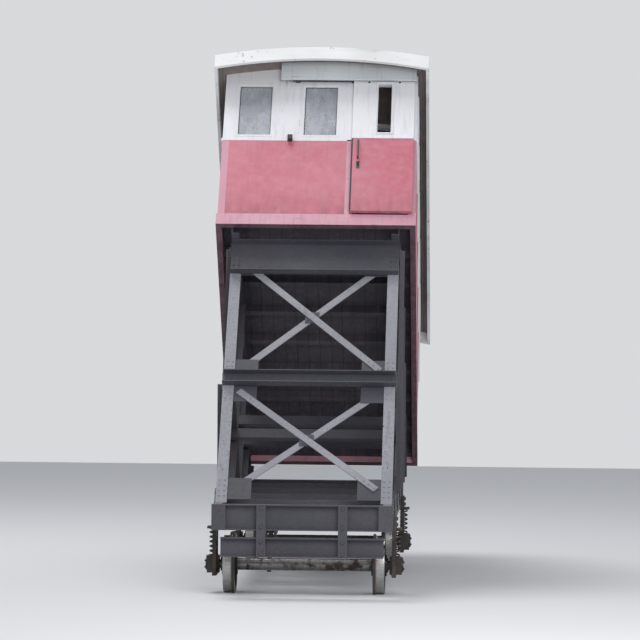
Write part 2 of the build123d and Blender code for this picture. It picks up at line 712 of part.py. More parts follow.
def door_frame():
    """Upper half of the door with its open light, two hanger straps and their rollers."""
    light = block(span(SIDE_X - DOOR_LIGHT_IN, DOOR_LIGHT_W), DOOR_Y, LIGHT_Z)
    frame = block(DOOR_X, DOOR_Y, (WAIST_Z, DOOR_TOP_Z)) - light
    roller_z = TRACK_Z[1] + ROLLER_GAP + ROLLER_R
    quarter = (DOOR_X[1] - DOOR_X[0]) / 4
    strap_y = (TRACK_Y[0] - DOOR_GAP - STRAP_T, TRACK_Y[0] - DOOR_GAP)
    for x in (DOOR_X[0] + quarter, DOOR_X[1] - quarter):
        strap = block(span(x, STRAP_W), strap_y, (DOOR_TOP_Z - STRAP_W, roller_z + ROLLER_R))
        roller = front_plate(Pos(x, roller_z) * Circle(ROLLER_R), (strap_y[1], strap_y[1] + DOOR_GAP + TRACK_T))
        frame = frame + strap + roller
    return frame


def door_handle():
    """A round grip between two feet on the door's lower panel, near its free edge."""
    x = DOOR_X[0] + HANDLE_IN
    z = span(WAIST_Z - HANDLE_DROP, HANDLE_H)
    grip_y = DOOR_Y[0] - HANDLE_REACH
    grip = Pos(x, grip_y, (z[0] + z[1]) / 2) * Cylinder(HANDLE_R, HANDLE_H)
    for level in (z[0] + HANDLE_R, z[1] - HANDLE_R):
        grip = grip + front_plate(Pos(x, level) * Circle(HANDLE_R), (grip_y, DOOR_Y[0]))
    return grip


def door_track():
    """A flat bar on three brackets from the wall, long enough for the open door."""
    track = block(TRACK_X, TRACK_Y, TRACK_Z)
    for x in (TRACK_X[0] + TRACK_HOLD, (TRACK_X[0] + TRACK_X[1]) / 2, TRACK_X[1] - TRACK_HOLD):
        track = track + block(span(x, TRACK_HOLD), (TRACK_Y[1], CAB_FRONT), TRACK_Z)
    return track


def door_stop():
    """Buffer on the wall where the open door comes to rest."""
    right = DOOR_X[0] - DOOR_TRAVEL - DOOR_GAP
    return block((right - STOP_W, right), (DOOR_Y[0], CAB_FRONT), span(WAIST_Z, STOP_H))


# Roof

def arched(x, low, high):
    """Outline in X and Z between two curves that lie low and high over the roof's underside."""
    ring = Circle(ROOF_R + high) - Circle(ROOF_R + low)
    window = Pos((x[0] + x[1]) / 2, ROOF_R) * Rectangle(x[1] - x[0], CAB_W / 2)
    return Pos(0, ROOF_CENTRE_Z) * (ring & window)


ROOF_X = (-SIDE_X - ROOF_SIDE, SIDE_X + ROOF_SIDE)
ROOF_Y = (CAB_FRONT - ROOF_END, CAB_BACK + ROOF_END)


def roof_shell():
    return front_plate(arched(ROOF_X, 0, ROOF_T), ROOF_Y)


def roof_fascias():
    """Boards under the roof's edges: curved ones at the ends, straight ones along the sides."""
    end = front_plate(arched(ROOF_X, -FASCIA_DEPTH, 0), (ROOF_Y[0], ROOF_Y[0] + FASCIA_T))
    edge_x = (ROOF_X[1] - FASCIA_T, ROOF_X[1])
    side = front_plate(arched(edge_x, -FASCIA_DEPTH, 0),
                       (ROOF_Y[0] + FASCIA_T + JOINT_GAP, ROOF_Y[1] - FASCIA_T - JOINT_GAP))
    return [end, HALF_TURN * end] + both(side)


def gable_board():
    """Board between the end wall's level top and the arched roof."""
    outline = arched((-SIDE_X, SIDE_X), -2 * ROOF_RISE, 0)
    board = front_plate(outline, END_WALL)
    return board - block(ROOF_X, END_WALL, (EAVES_Z - 4 * ROOF_RISE, EAVES_Z))


def roof_bows():
    near = WALL_Y[0] + BOW_W / 2
    pitch = (WALL_Y[1] - WALL_Y[0] - BOW_W) / (BOWS - 1)
    outline = arched((-INNER_X, INNER_X), -BOW_DEPTH, 0)
    return [front_plate(outline, span(near + i * pitch, BOW_W)) for i in range(BOWS)]


def header_board():
    """Blank board in front of the door's track, fixed up to the roof."""
    x = (TRACK_X[0] - BOARD_LAP, SIDE_X - BOARD_IN)
    y = (CAB_FRONT - BOARD_REACH, CAB_FRONT - BOARD_REACH + BOARD_T)
    board = front_plate(arched(x, -2 * ROOF_RISE - BOARD_FOOT, 0), y)
    return board - block(ROOF_X, y, (EAVES_Z - 6 * ROOF_RISE, EAVES_Z - BOARD_FOOT))


# Inside

BENCH_Y = (INNER_Y[0] + BENCH_CLEAR, INNER_Y[1] - BENCH_END)
SEAT_Z = DECK_Z + SEAT_H


def slats(count, low, high):
    """Limits of a row of equal slats with a gap between each two."""
    width = (high - low - (count - 1) * SLAT_GAP) / count
    return [(low + i * (width + SLAT_GAP), low + i * (width + SLAT_GAP) + width) for i in range(count)]


def bench():
    """Slats of a seat and its back, along the side wall at the end away from the door."""
    front = INNER_X - STANDARD_W / 2 - SEAT_D
    seat = [block(x, BENCH_Y, (SEAT_Z - SEAT_T, SEAT_Z))
            for x in slats(SEAT_SLATS, front, front + SEAT_D - SLAT_GAP)]
    back_x = (INNER_X - STANDARD_W / 2 - BACK_T, INNER_X - STANDARD_W / 2)
    back = [block(back_x, BENCH_Y, z) for z in slats(BACK_SLATS, SEAT_Z + SEAT_T, SEAT_Z + BACK_H)]
    return seat + back


def bench_standards():
    """Sawn standards: a leg, a bearer under the seat and an upright behind the back."""
    under = SEAT_Z - SEAT_T
    front = INNER_X - STANDARD_W / 2 - SEAT_D
    outline = Polygon((front + STANDARD_W, DECK_Z), (front + 2 * STANDARD_W, DECK_Z),
                      (front + 2 * STANDARD_W, under - STANDARD_W), (INNER_X - STANDARD_W / 2, under - STANDARD_W),
                      (INNER_X - STANDARD_W / 2, DECK_Z), (INNER_X, DECK_Z), (INNER_X, SEAT_Z + BACK_H),
                      (INNER_X - STANDARD_W / 2, SEAT_Z + BACK_H), (INNER_X - STANDARD_W / 2, under),
                      (front, under), (front + STANDARD_W, under - STANDARD_W), align=None)
    pitch = (BENCH_Y[1] - BENCH_Y[0] - STANDARD_T) / (BENCH_LEGS - 1)
    return [front_plate(outline, (BENCH_Y[0] + i * pitch, BENCH_Y[0] + i * pitch + STANDARD_T))
            for i in range(BENCH_LEGS)]


def pole(x, y):
    """Upright grab pole from the deck to the roof."""
    tall = EAVES_Z + ROOF_RISE - DECK_Z
    post = Pos(x, y, DECK_Z + tall / 2) * Cylinder(POLE_R, tall)
    keep = Pos(0, y, ROOF_CENTRE_Z) * Rot(90, 0, 0) * Cylinder(ROOF_R, 4 * POLE_R)
    return post & keep


def ceiling_lamp():
    """Shallow round lamp under the middle of the roof."""
    crown = ROOF_CENTRE_Z + ROOF_R
    middle = (WALL_Y[0] + WALL_Y[1]) / 2
    bowl = Pos(0, middle, crown - LAMP_H) * Cylinder(LAMP_R, 2 * LAMP_H)
    keep = Pos(0, middle, ROOF_CENTRE_Z) * Rot(90, 0, 0) * Cylinder(ROOF_R, 4 * LAMP_R)
    return bowl & keep


NODES = {
    "side_sills": tilted(both(side_sill())),
    "headstocks": tilted([headstock(DOWN_S, -1), headstock(UP_S, 1)]),
    "guard_beam": tilted([guard_beam()]),
    "cross_members": tilted([cross_member(share) for share in CROSS_AT]),
    "drawhead": tilted([drawhead()]),
    "pawl_hanger": tilted([pawl_hanger()]),
    "safety_pawl": tilted([pawl()]),
    "axle_guides": tilted(both(guide(AXLES["downhill"])) + both(guide(AXLES["uphill"]))),
    "axle_boxes": tilted(both(axle_box(AXLES["downhill"])) + both(axle_box(AXLES["uphill"]))),
    "axle_springs": tilted(both(spring(AXLES["downhill"])) + both(spring(AXLES["uphill"]))),
    "downhill_axle": tilted([axle(AXLES["downhill"])]),
    "uphill_axle": tilted([axle(AXLES["uphill"])]),
    "downhill_wheels": tilted(both(wheel(AXLES["downhill"]))),
    "uphill_wheels": tilted(both(wheel(AXLES["uphill"]))),
    "front_columns": both(tall_column()),
    "side_posts": [solid for y in POST_Y[1:] for solid in both(side_post(y))],
    "front_beams": [front_beam(FLOOR_Z - HEADER_DEPTH, FLOOR_Z),
                    front_beam(MIDDLE_Z - MIDDLE_DEPTH / 2, MIDDLE_Z + MIDDLE_DEPTH / 2)],
    "front_braces": front_braces(),
    "front_gussets": front_gussets() + tilted(headstock_end_plates()),
    "middle_rails": middle_rails(),
    "side_gussets": side_gussets(),
    "side_braces": side_braces(),
    "cross_ties": cross_ties(),
    "floor_beams": both(floor_beam()),
    "floor_joists": floor_joists(),
    "floor_deck": [floor_deck()],
    "base_rails": base_rails(),
    "corner_posts": corner_posts(),
    "side_lower_panels": both(block(SIDE_WALL, WALL_Y, (PANEL_Z, WAIST_Z))),
    "side_window_frames": both(side_frame()),
    "window_glass": window_glass(),
    "benches": bench() + turned(bench()),
    "bench_standards": bench_standards() + turned(bench_standards()),
    "grab_poles": [pole(POLE_X, CAB_FRONT + POLE_IN), HALF_TURN * pole(POLE_X, CAB_FRONT + POLE_IN)],
    "ceiling_lamp": [ceiling_lamp()],
    "roof_shell": [roof_shell()],
    "roof_fascias": roof_fascias(),
    "roof_bows": roof_bows(),
}

# Both ends have the same pieces: those drawn for the downhill end, and the same turned half round
END_PIECES = {
    "lower_panel": block((-(SIDE_X - POST_W), JAMB_X), END_WALL, (PANEL_Z, WAIST_Z)),
    "window_frame": end_frame(),
    "head_rail": block((POST_W - SIDE_X, SIDE_X - POST_W), END_WALL, (EAVES_Z - HEAD_RAIL, EAVES_Z)),
    "gable_board": gable_board(),
    "door_track": door_track(),
    "door_stop": door_stop(),
    "header_board": header_board(),
}
for name, solid in END_PIECES.items():
    NODES["end_" + name + "s"] = [solid, HALF_TURN * solid]
DOOR_PIECES = {"door_panel": door_panel(), "door_frame": door_frame(), "door_handle": door_handle()}
for name, solid in DOOR_PIECES.items():
    NODES["downhill_" + name] = [solid]
    NODES["uphill_" + name] = [HALF_TURN * solid]

for name, solids in NODES.items():
    whole = solids[0] if len(solids) == 1 else Compound(solids)
    export_step(whole, os.path.join("parts", name + ".step"))
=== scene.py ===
import json
import math

import bmesh
import bpy
from mathutils import Matrix, Vector


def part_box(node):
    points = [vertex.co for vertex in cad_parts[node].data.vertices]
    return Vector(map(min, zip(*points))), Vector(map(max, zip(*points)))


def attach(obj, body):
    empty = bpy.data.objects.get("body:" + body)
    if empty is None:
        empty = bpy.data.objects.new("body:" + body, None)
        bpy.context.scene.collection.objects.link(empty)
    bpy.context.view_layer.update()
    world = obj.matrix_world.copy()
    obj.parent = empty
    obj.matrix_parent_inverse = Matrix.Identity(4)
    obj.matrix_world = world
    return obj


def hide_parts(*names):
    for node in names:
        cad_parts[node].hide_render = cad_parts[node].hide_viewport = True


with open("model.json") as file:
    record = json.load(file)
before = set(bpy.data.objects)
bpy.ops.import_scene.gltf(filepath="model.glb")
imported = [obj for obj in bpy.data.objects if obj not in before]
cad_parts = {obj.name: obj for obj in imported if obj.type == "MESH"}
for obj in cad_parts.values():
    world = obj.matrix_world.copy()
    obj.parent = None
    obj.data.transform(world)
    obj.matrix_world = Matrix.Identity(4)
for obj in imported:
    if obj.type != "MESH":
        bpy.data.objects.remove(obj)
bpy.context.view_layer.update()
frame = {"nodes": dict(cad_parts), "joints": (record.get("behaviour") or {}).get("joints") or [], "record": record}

# Sizes are in metres, in the frame of the model: +Y up the hill, +Z up.
GRADE = math.radians(43.0)
TREAD_DROP = 0.430           # tread line below the rope eyes, square to the slope
SLOPE = Matrix.Rotation(GRADE, 4, "X")
UPRIGHT = Matrix.Identity(4)


# The view: from low on the slope below the car, looking up

VIEW_AZIMUTH = math.radians(3.0)
VIEW_ELEVATION = math.radians(-42.5)
VIEW_DISTANCE = 45.0
VIEW_ROLL = math.radians(2.6)
VIEW_LENS = 241.0
VIEW_AIM = Vector((0.015, -3.0, 0.25))


def make_camera():
    """The camera, far back and low, with the photo's slight roll."""
    data = bpy.data.cameras.new("view_camera")
    camera = bpy.data.objects.new("view_camera", data)
    bpy.context.scene.collection.objects.link(camera)
    back = Vector((math.sin(VIEW_AZIMUTH) * math.cos(VIEW_ELEVATION),
                   -math.cos(VIEW_AZIMUTH) * math.cos(VIEW_ELEVATION), math.sin(VIEW_ELEVATION)))
    turn = (-back).to_track_quat("-Z", "Y").to_matrix().to_4x4()
    camera.matrix_world = (Matrix.Translation(VIEW_AIM + VIEW_DISTANCE * back) @ turn
                           @ Matrix.Rotation(VIEW_ROLL, 4, "Z"))
    data.lens = VIEW_LENS
    data.clip_end = 200.0
    bpy.context.scene.camera = camera


make_camera()


# Light: a pale surround, one broad soft lamp over the car and one low in front

def make_world():
    """A pale surround: a cooler, dimmer one lights the car, and a brighter one is seen and mirrored."""
    world = bpy.data.worlds.new("studio")
    bpy.context.scene.world = world
    world.use_nodes = True
    tree = world.node_tree
    tree.nodes.clear()
    output = tree.nodes.new("ShaderNodeOutputWorld")
    lit = tree.nodes.new("ShaderNodeBackground")
    lit.inputs["Color"].default_value = (0.80, 0.84, 0.90, 1.0)
    lit.inputs["Strength"].default_value = 0.55
    seen = tree.nodes.new("ShaderNodeBackground")
    seen.inputs["Color"].default_value = (0.86, 0.87, 0.89, 1.0)
    seen.inputs["Strength"].default_value = 0.80
    path = tree.nodes.new("ShaderNodeLightPath")
    either = tree.nodes.new("ShaderNodeMath")
    either.operation = "MAXIMUM"
    tree.links.new(path.outputs["Is Camera Ray"], either.inputs[0])
    tree.links.new(path.outputs["Is Glossy Ray"], either.inputs[1])
    any_of = tree.nodes.new("ShaderNodeMath")
    any_of.operation = "MAXIMUM"
    tree.links.new(either.outputs[0], any_of.inputs[0])
    tree.links.new(path.outputs["Is Transmission Ray"], any_of.inputs[1])
    mix = tree.nodes.new("ShaderNodeMixShader")
    tree.links.new(any_of.outputs[0], mix.inputs[0])
    tree.links.new(lit.outputs[0], mix.inputs[1])
    tree.links.new(seen.outputs[0], mix.inputs[2])
    tree.links.new(mix.outputs[0], output.inputs["Surface"])


def soft_lamp(name, place, aim, size, power):
    """A round area lamp that looks at a point."""
    data = bpy.data.lights.new(name, "AREA")
    data.shape = "DISK"
    data.size = size
    data.energy = power
    lamp = bpy.data.objects.new(name, data)
    bpy.context.scene.collection.objects.link(lamp)
    place = Vector(place)
    lamp.matrix_world = (Matrix.Translation(place)
                         @ (Vector(aim) - place).to_track_quat("-Z", "Y").to_matrix().to_4x4())


make_world()
soft_lamp("sky_lamp", (-4.0, -9.0, 12.0), (0.0, -2.7, 0.0), 8.0, 1120.0)
soft_lamp("front_lamp", (3.0, -16.0, -6.0), (0.0, -3.5, -0.5), 7.0, 760.0)


# Floor: a pale slope under the wheels, see-through from below

def make_floor():
    mesh = bpy.data.meshes.new("floor")
    made = bmesh.new()
    bmesh.ops.create_grid(made, x_segments=1, y_segments=1, size=1.0)
    place = SLOPE @ Matrix.Translation((0.0, -20.0, -TREAD_DROP)) @ Matrix.Diagonal((12.0, 45.0, 1.0, 1.0))
    made.transform(place)
    made.to_mesh(mesh)
    made.free()
    floor = bpy.data.objects.new("floor", mesh)
    bpy.context.scene.collection.objects.link(floor)
    material = bpy.data.materials.new("floor")
    material.use_nodes = True
    tree = material.node_tree
    shader = tree.nodes["Principled BSDF"]
    shader.inputs["Base Color"].default_value = (0.72, 0.72, 0.73, 1.0)
    shader.inputs["Roughness"].default_value = 0.8
    clear = tree.nodes.new("ShaderNodeBsdfTransparent")
    side = tree.nodes.new("ShaderNodeNewGeometry")
    mix = tree.nodes.new("ShaderNodeMixShader")
    tree.links.new(side.outputs["Backfacing"], mix.inputs[0])
    tree.links.new(shader.outputs[0], mix.inputs[1])
    tree.links.new(clear.outputs[0], mix.inputs[2])
    tree.links.new(mix.outputs[0], tree.nodes["Material Output"].inputs["Surface"])
    mesh.materials.append(material)


make_floor()
bpy.context.scene.view_settings.view_transform = "Standard"


# Levels and faces of the cabin, from the model

SIDE_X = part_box("side_lower_panels")[1][0]
CAB_LOW, CAB_HIGH = (Vector(corner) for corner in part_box("corner_posts"))
PANEL_Z = CAB_LOW.z
WAIST_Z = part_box("side_lower_panels")[1][2]
EAVES_Z = CAB_HIGH.z
CAB_FRONT = CAB_LOW.y
CAB_BACK = CAB_HIGH.y
HALF_TURN = (Matrix.Translation((0.0, CAB_FRONT + CAB_BACK, 0.0)) @ Matrix.Rotation(math.pi, 4, "Z"))


# Finishes. Every pattern reads Object coordinates, which are metres in the frame of the model.

DUST = (0.36, 0.33, 0.30)
RUST = (0.115, 0.058, 0.036)
RUST_DARK = (0.052, 0.028, 0.020)
GREASE = (0.018, 0.016, 0.015)
CHARCOAL = (0.046, 0.045, 0.060)
CHARCOAL_FADED = (0.078, 0.075, 0.093)
GREY = (0.245, 0.245, 0.280)
GREY_FADED = (0.335, 0.332, 0.365)
RED = (0.530, 0.115, 0.165)
RED_FADED = (0.580, 0.175, 0.230)
PINK = (0.600, 0.275, 0.350)
PINK_FADED = (0.680, 0.385, 0.440)
WHITE = (0.84, 0.835, 0.87)
WHITE_FADED = (0.74, 0.735, 0.75)
# Painted shade: dark maroon for the base rails' undersides.
RAIL_UNDERSIDE_SHADE = (0.145, 0.078, 0.098)
# Painted shade: a dark colour for the roof's undersides, the soffit strips and the ceiling, standing in for the
# shade under the roof.
SOFFIT_SHADE = (0.185, 0.148, 0.136)
SOFFIT_SHADE_FADED = (0.240, 0.205, 0.192)


class Finish:
    """A material in the making: its shader, and short ways to lay one pattern over another."""

    def __init__(self, name, roughness, metallic=0.0):
        self.material = bpy.data.materials.new(name)
        self.material.use_nodes = True
        self.tree = self.material.node_tree
        self.shader = self.tree.nodes["Principled BSDF"]
        self.shader.inputs["Metallic"].default_value = metallic
        self.shader.inputs["Roughness"].default_value = roughness
        coordinates = self.add("ShaderNodeTexCoord")
        self.place = coordinates.outputs["Object"]
        self.facing = coordinates.outputs["Normal"]

    def add(self, kind, **settings):
        made = self.tree.nodes.new(kind)
        for name, value in settings.items():
            setattr(made, name, value)
        return made

    def link(self, source, target):
        self.tree.links.new(source, target)

    def clouds(self, size, detail=4.0, stretch=(1.0, 1.0, 1.0), turn=0.0):
        """Soft noise, patches of about the given size; stretch is along X, Y and Z."""
        mapping = self.add("ShaderNodeMapping")
        mapping.inputs["Rotation"].default_value = (turn, 0.0, 0.0)
        mapping.inputs["Scale"].default_value = [1.0 / (size * part) for part in stretch]
        self.link(self.place, mapping.inputs["Vector"])
        noise = self.add("ShaderNodeTexNoise")
        noise.inputs["Scale"].default_value = 1.0
        noise.inputs["Detail"].default_value = detail
        self.link(mapping.outputs[0], noise.inputs["Vector"])
        return noise.outputs["Fac"]

    def lines(self, axis, pitch, width):
        """1 in narrow joints at an even pitch along an axis, 0 between them."""
        along = self.axis(axis)
        step = self.sums("DIVIDE", along, pitch)
        part = self.sums("FRACT", step)
        off = self.sums("ABSOLUTE", self.sums("SUBTRACT", part, 0.5))
        return self.step(off, 0.5 - width / pitch, 0.5 - width / pitch / 3)

    def axis(self, axis, source=None):
        parts = self.add("ShaderNodeSeparateXYZ")
        self.link(self.place if source is None else source, parts.inputs[0])
        return parts.outputs[axis]

    def sums(self, operation, first, second=None):
        made = self.add("ShaderNodeMath", operation=operation)
        for socket, value in zip(made.inputs, (first, second)):
            if isinstance(value, (int, float)):
                socket.default_value = value
            elif value is not None:
                self.link(value, socket)
        return made.outputs[0]

    def step(self, value, low, high, at_low=0.0, at_high=1.0):
        """A value spread between two limits, held at both ends."""
        made = self.add("ShaderNodeMapRange", clamp=True)
        for name, number in (("From Min", low), ("From Max", high), ("To Min", at_low), ("To Max", at_high)):
            made.inputs[name].default_value = number
        self.link(value, made.inputs["Value"])
        return made.outputs[0]

    def over(self, share, below, above):
        """One colour laid over another by a share from 0 to 1."""
        made = self.add("ShaderNodeMix", data_type="RGBA")
        self.link(share, made.inputs[0])
        for socket, colour in ((made.inputs[6], below), (made.inputs[7], above)):
            if isinstance(colour, tuple):
                socket.default_value = (*colour, 1.0)
            else:
                self.link(colour, socket)
        return made.outputs[2]

    def colour(self, colour):
        self.link(colour, self.shader.inputs["Base Color"])

    def rough(self, value):
        self.link(value, self.shader.inputs["Roughness"])

    def relief(self, height, depth):
        bump = self.add("ShaderNodeBump")
        bump.inputs["Strength"].default_value = 0.8
        bump.inputs["Distance"].default_value = depth
        self.link(height, bump.inputs["Height"])
        self.link(bump.outputs[0], self.shader.inputs["Normal"])

    def dusted(self, colour, amount, dust=DUST):
        """Dust that lies on what faces up, in patches."""
        up = self.step(self.axis(2, self.facing), 0.35, 0.95)
        patch = self.step(self.clouds(0.22, 5.0), 0.30, 0.65)
        return self.over(self.sums("MULTIPLY", self.sums("MULTIPLY", up, patch), amount), colour, dust)


def painted_steel(name, paint, faded, chips, roughness=0.55):
    """Old brush paint on riveted steel: fading in clouds, chips with rust, and rust that runs down."""
    finish = Finish(name, roughness)
    colour = finish.over(finish.step(finish.clouds(0.85, 3.0), 0.32, 0.68), paint, faded)
    fine = finish.clouds(0.035, 6.0)
    colour = finish.over(finish.step(fine, 0.30, 0.75, 0.0, 0.35), colour,
                         tuple(0.55 * part for part in paint))
    runs = finish.step(finish.clouds(0.055, 4.0, (1.0, 1.0, 9.0)), 0.58, 0.80, 0.0, 0.45)
    worn = finish.step(finish.clouds(0.45, 4.0), 0.44, 0.62)
    runs = finish.sums("MULTIPLY", runs, worn)
    colour = finish.over(runs, colour, RUST)
    chip = finish.step(finish.clouds(0.017, 8.0), 0.64 - chips, 0.66 - chips)
    chip = finish.sums("MULTIPLY", chip, worn)
    heart = finish.over(finish.step(fine, 0.40, 0.60), RUST_DARK, RUST)
    colour = finish.over(chip, colour, heart)
    finish.colour(finish.dusted(colour, 0.55))
    finish.rough(finish.step(finish.sums("ADD", chip, finish.sums("MULTIPLY", fine, 0.4)),
                             0.0, 1.2, roughness - 0.10, 0.92))
    brushed = finish.clouds(0.006, 3.0, (1.0, 1.0, 8.0))
    height = finish.sums("ADD", finish.sums("MULTIPLY", brushed, 0.35),
                         finish.sums("MULTIPLY", chip, -1.0))
    finish.relief(height, 0.0009)
    return finish.material


def cast_iron(name, centre=None, tread_r=None):
    """Dusty, oily iron; on a wheel the tread and the flange's root are polished by the rail."""
    finish = Finish(name, 0.6, 0.35)
    colour = finish.over(finish.step(finish.clouds(0.12, 6.0), 0.35, 0.65), (0.050, 0.044, 0.042),
                         (0.105, 0.082, 0.068))
    oil = finish.step(finish.clouds(0.30, 3.0), 0.52, 0.60)
    colour = finish.over(finish.sums("MULTIPLY", oil, 0.75), colour, GREASE)
    colour = finish.dusted(colour, 0.7, (0.24, 0.20, 0.17))
    rough = finish.step(oil, 0.0, 1.0, 0.78, 0.34)
    if centre is not None:
        across = finish.sums("POWER", finish.sums("SUBTRACT", finish.axis(1), centre.y), 2.0)
        upward = finish.sums("POWER", finish.sums("SUBTRACT", finish.axis(2), centre.z), 2.0)
        radius = finish.sums("SQRT", finish.sums("ADD", across, upward))
        tread = finish.sums("MULTIPLY", finish.step(radius, tread_r - 0.004, tread_r - 0.001),
                            finish.step(radius, tread_r + 0.022, tread_r + 0.010))
        hub = finish.step(radius, 0.150, 0.085)
        colour = finish.over(finish.sums("MULTIPLY", hub, 0.8), colour, GREASE)
        streaks = finish.step(finish.clouds(0.010, 5.0, (9.0, 1.0, 1.0)), 0.3, 0.7)
        colour = finish.over(tread, colour, finish.over(streaks, (0.36, 0.35, 0.34), (0.50, 0.49, 0.48)))
        rough = finish.sums("MULTIPLY", rough, finish.step(tread, 0.0, 1.0, 1.0, 0.42))
        finish.link(finish.step(tread, 0.0, 1.0, 0.25, 1.0), finish.shader.inputs["Metallic"])
    finish.colour(colour)
    finish.rough(rough)
    finish.relief(finish.clouds(0.008, 6.0), 0.0012)
    return finish.material


def turned_steel(name, shade=(0.30, 0.29, 0.28)):
    """Steel with the lathe's rings along X, grease at the ends and thin rust between."""
    finish = Finish(name, 0.35, 0.85)
    rings = finish.clouds(0.004, 2.0, (1.0, 400.0, 400.0))
    colour = finish.over(finish.step(rings, 0.3, 0.7), shade, tuple(0.62 * part for part in shade))
    rust = finish.step(finish.clouds(0.09, 7.0), 0.50, 0.62, 0.0, 0.75)
    colour = finish.over(rust, colour, RUST_DARK)
    grease = finish.step(finish.sums("ABSOLUTE", finish.axis(0)), 0.60, 0.72)
    colour = finish.over(finish.sums("MULTIPLY", grease, 0.8), colour, GREASE)
    finish.colour(colour)
    finish.rough(finish.step(rust, 0.0, 0.75, 0.30, 0.75))
    finish.relief(rings, 0.0004)
    return finish.material


def painted_boards(name, paint, faded, joint_axis=None, pitch=0.12, grain=(1.0, 12.0, 1.0), gloss=0.5,
                   bare=0.04, wood=(0.40, 0.36, 0.32), below=None):
    """Paint on timber: its grain, worn patches down to grey wood, grime from rain.

    below is (level, colour), for a post whose foot has the colour of the panels.
    """
    finish = Finish(name, gloss)
    colour = finish.over(finish.step(finish.clouds(0.70, 3.0), 0.30, 0.70), paint, faded)
    if below is not None:
        level, foot = below
        colour = finish.over(finish.step(finish.axis(2), level + 0.001, level - 0.001), colour, foot)
    fibre = finish.clouds(0.010, 5.0, grain)
    colour = finish.over(finish.step(fibre, 0.50, 0.85, 0.0, 0.22), colour,
                         tuple(0.62 * part for part in paint))
    grime = finish.step(finish.clouds(0.060, 4.0, (1.0, 1.0, 8.0)), 0.52, 0.82, 0.0, 0.30)
    colour = finish.over(grime, colour, (0.22, 0.20, 0.19))
    worn = finish.step(finish.clouds(0.026, 8.0, grain), 0.68 - bare, 0.70 - bare)
    worn = finish.sums("MULTIPLY", worn, finish.step(finish.clouds(0.50, 3.0), 0.50, 0.66))
    colour = finish.over(worn, colour, wood)
    height = finish.sums("SUBTRACT", finish.sums("MULTIPLY", fibre, 0.5), worn)
    if joint_axis is not None:
        joint = finish.lines(joint_axis, pitch, 0.004)
        colour = finish.over(finish.sums("MULTIPLY", joint, 0.85), colour, (0.020, 0.016, 0.015))
        height = finish.sums("SUBTRACT", height, finish.sums("MULTIPLY", joint, 2.0))
    finish.colour(finish.dusted(colour, 0.35))
    finish.rough(finish.step(finish.sums("ADD", worn, fibre), 0.2, 1.4, gloss - 0.08, 0.90))
    finish.relief(height, 0.0010)
    return finish.material


def faded_panel(name, paint, faded):
    """Sheet panels in red that the sun has bleached, chalky, with grime at the foot and small dents."""
    finish = Finish(name, 0.48)
    colour = finish.over(finish.step(finish.clouds(0.95, 3.0), 0.30, 0.70), paint, faded)
    chalk = finish.step(finish.clouds(0.10, 6.0), 0.40, 0.75, 0.0, 0.30)
    colour = finish.over(chalk, colour, (0.66, 0.35, 0.38))
    low = finish.step(finish.axis(2), 0.80, 0.42, 0.0, 0.42)
    splash = finish.step(finish.clouds(0.075, 6.0, (1.0, 1.0, 2.5)), 0.36, 0.66)
    colour = finish.over(finish.sums("MULTIPLY", low, splash), colour, (0.19, 0.10, 0.105))
    runs = finish.step(finish.clouds(0.045, 4.0, (1.0, 1.0, 14.0)), 0.58, 0.80, 0.0, 0.32)
    colour = finish.over(runs, colour, (0.27, 0.12, 0.13))
    chip = finish.step(finish.clouds(0.020, 8.0), 0.680, 0.692)
    colour = finish.over(chip, colour, (0.33, 0.27, 0.25))
    finish.colour(colour)
    finish.rough(finish.step(finish.sums("ADD", chalk, low), 0.0, 0.8, 0.40, 0.78))
    height = finish.sums("SUBTRACT", finish.sums("MULTIPLY", finish.clouds(0.22, 2.0), 3.0), chip)
    finish.relief(height, 0.0012)
    return finish.material


def roof_paint(name, soffit=True):
    """White paint gone chalky, with soot in runs across the arch, and painted shade: a dark colour on the shell's
    faces that turn down.
    """
    finish = Finish(name, 0.62)
    colour = finish.over(finish.step(finish.clouds(0.60, 4.0), 0.34, 0.66), (0.80, 0.80, 0.80),
                         (0.70, 0.70, 0.69))
    soot = finish.step(finish.clouds(0.16, 6.0, (3.0, 1.0, 1.0)), 0.52, 0.74, 0.0, 0.38)
    colour = finish.over(soot, colour, (0.30, 0.28, 0.27))
    moss = finish.step(finish.clouds(0.05, 7.0), 0.66, 0.70, 0.0, 0.5)
    colour = finish.over(moss, colour, (0.17, 0.18, 0.12))
    if soffit:
        # Painted shade: faces that turn down are coloured dark.
        down = finish.step(finish.axis(2, finish.facing), -0.4, -0.6)
        shaded = finish.over(finish.step(finish.clouds(0.08, 5.0), 0.35, 0.65), SOFFIT_SHADE, SOFFIT_SHADE_FADED)
        colour = finish.over(down, colour, shaded)
    finish.colour(colour)
    finish.rough(finish.step(soot, 0.0, 0.38, 0.55, 0.85))
    finish.relief(finish.clouds(0.015, 6.0), 0.0010)
    return finish.material


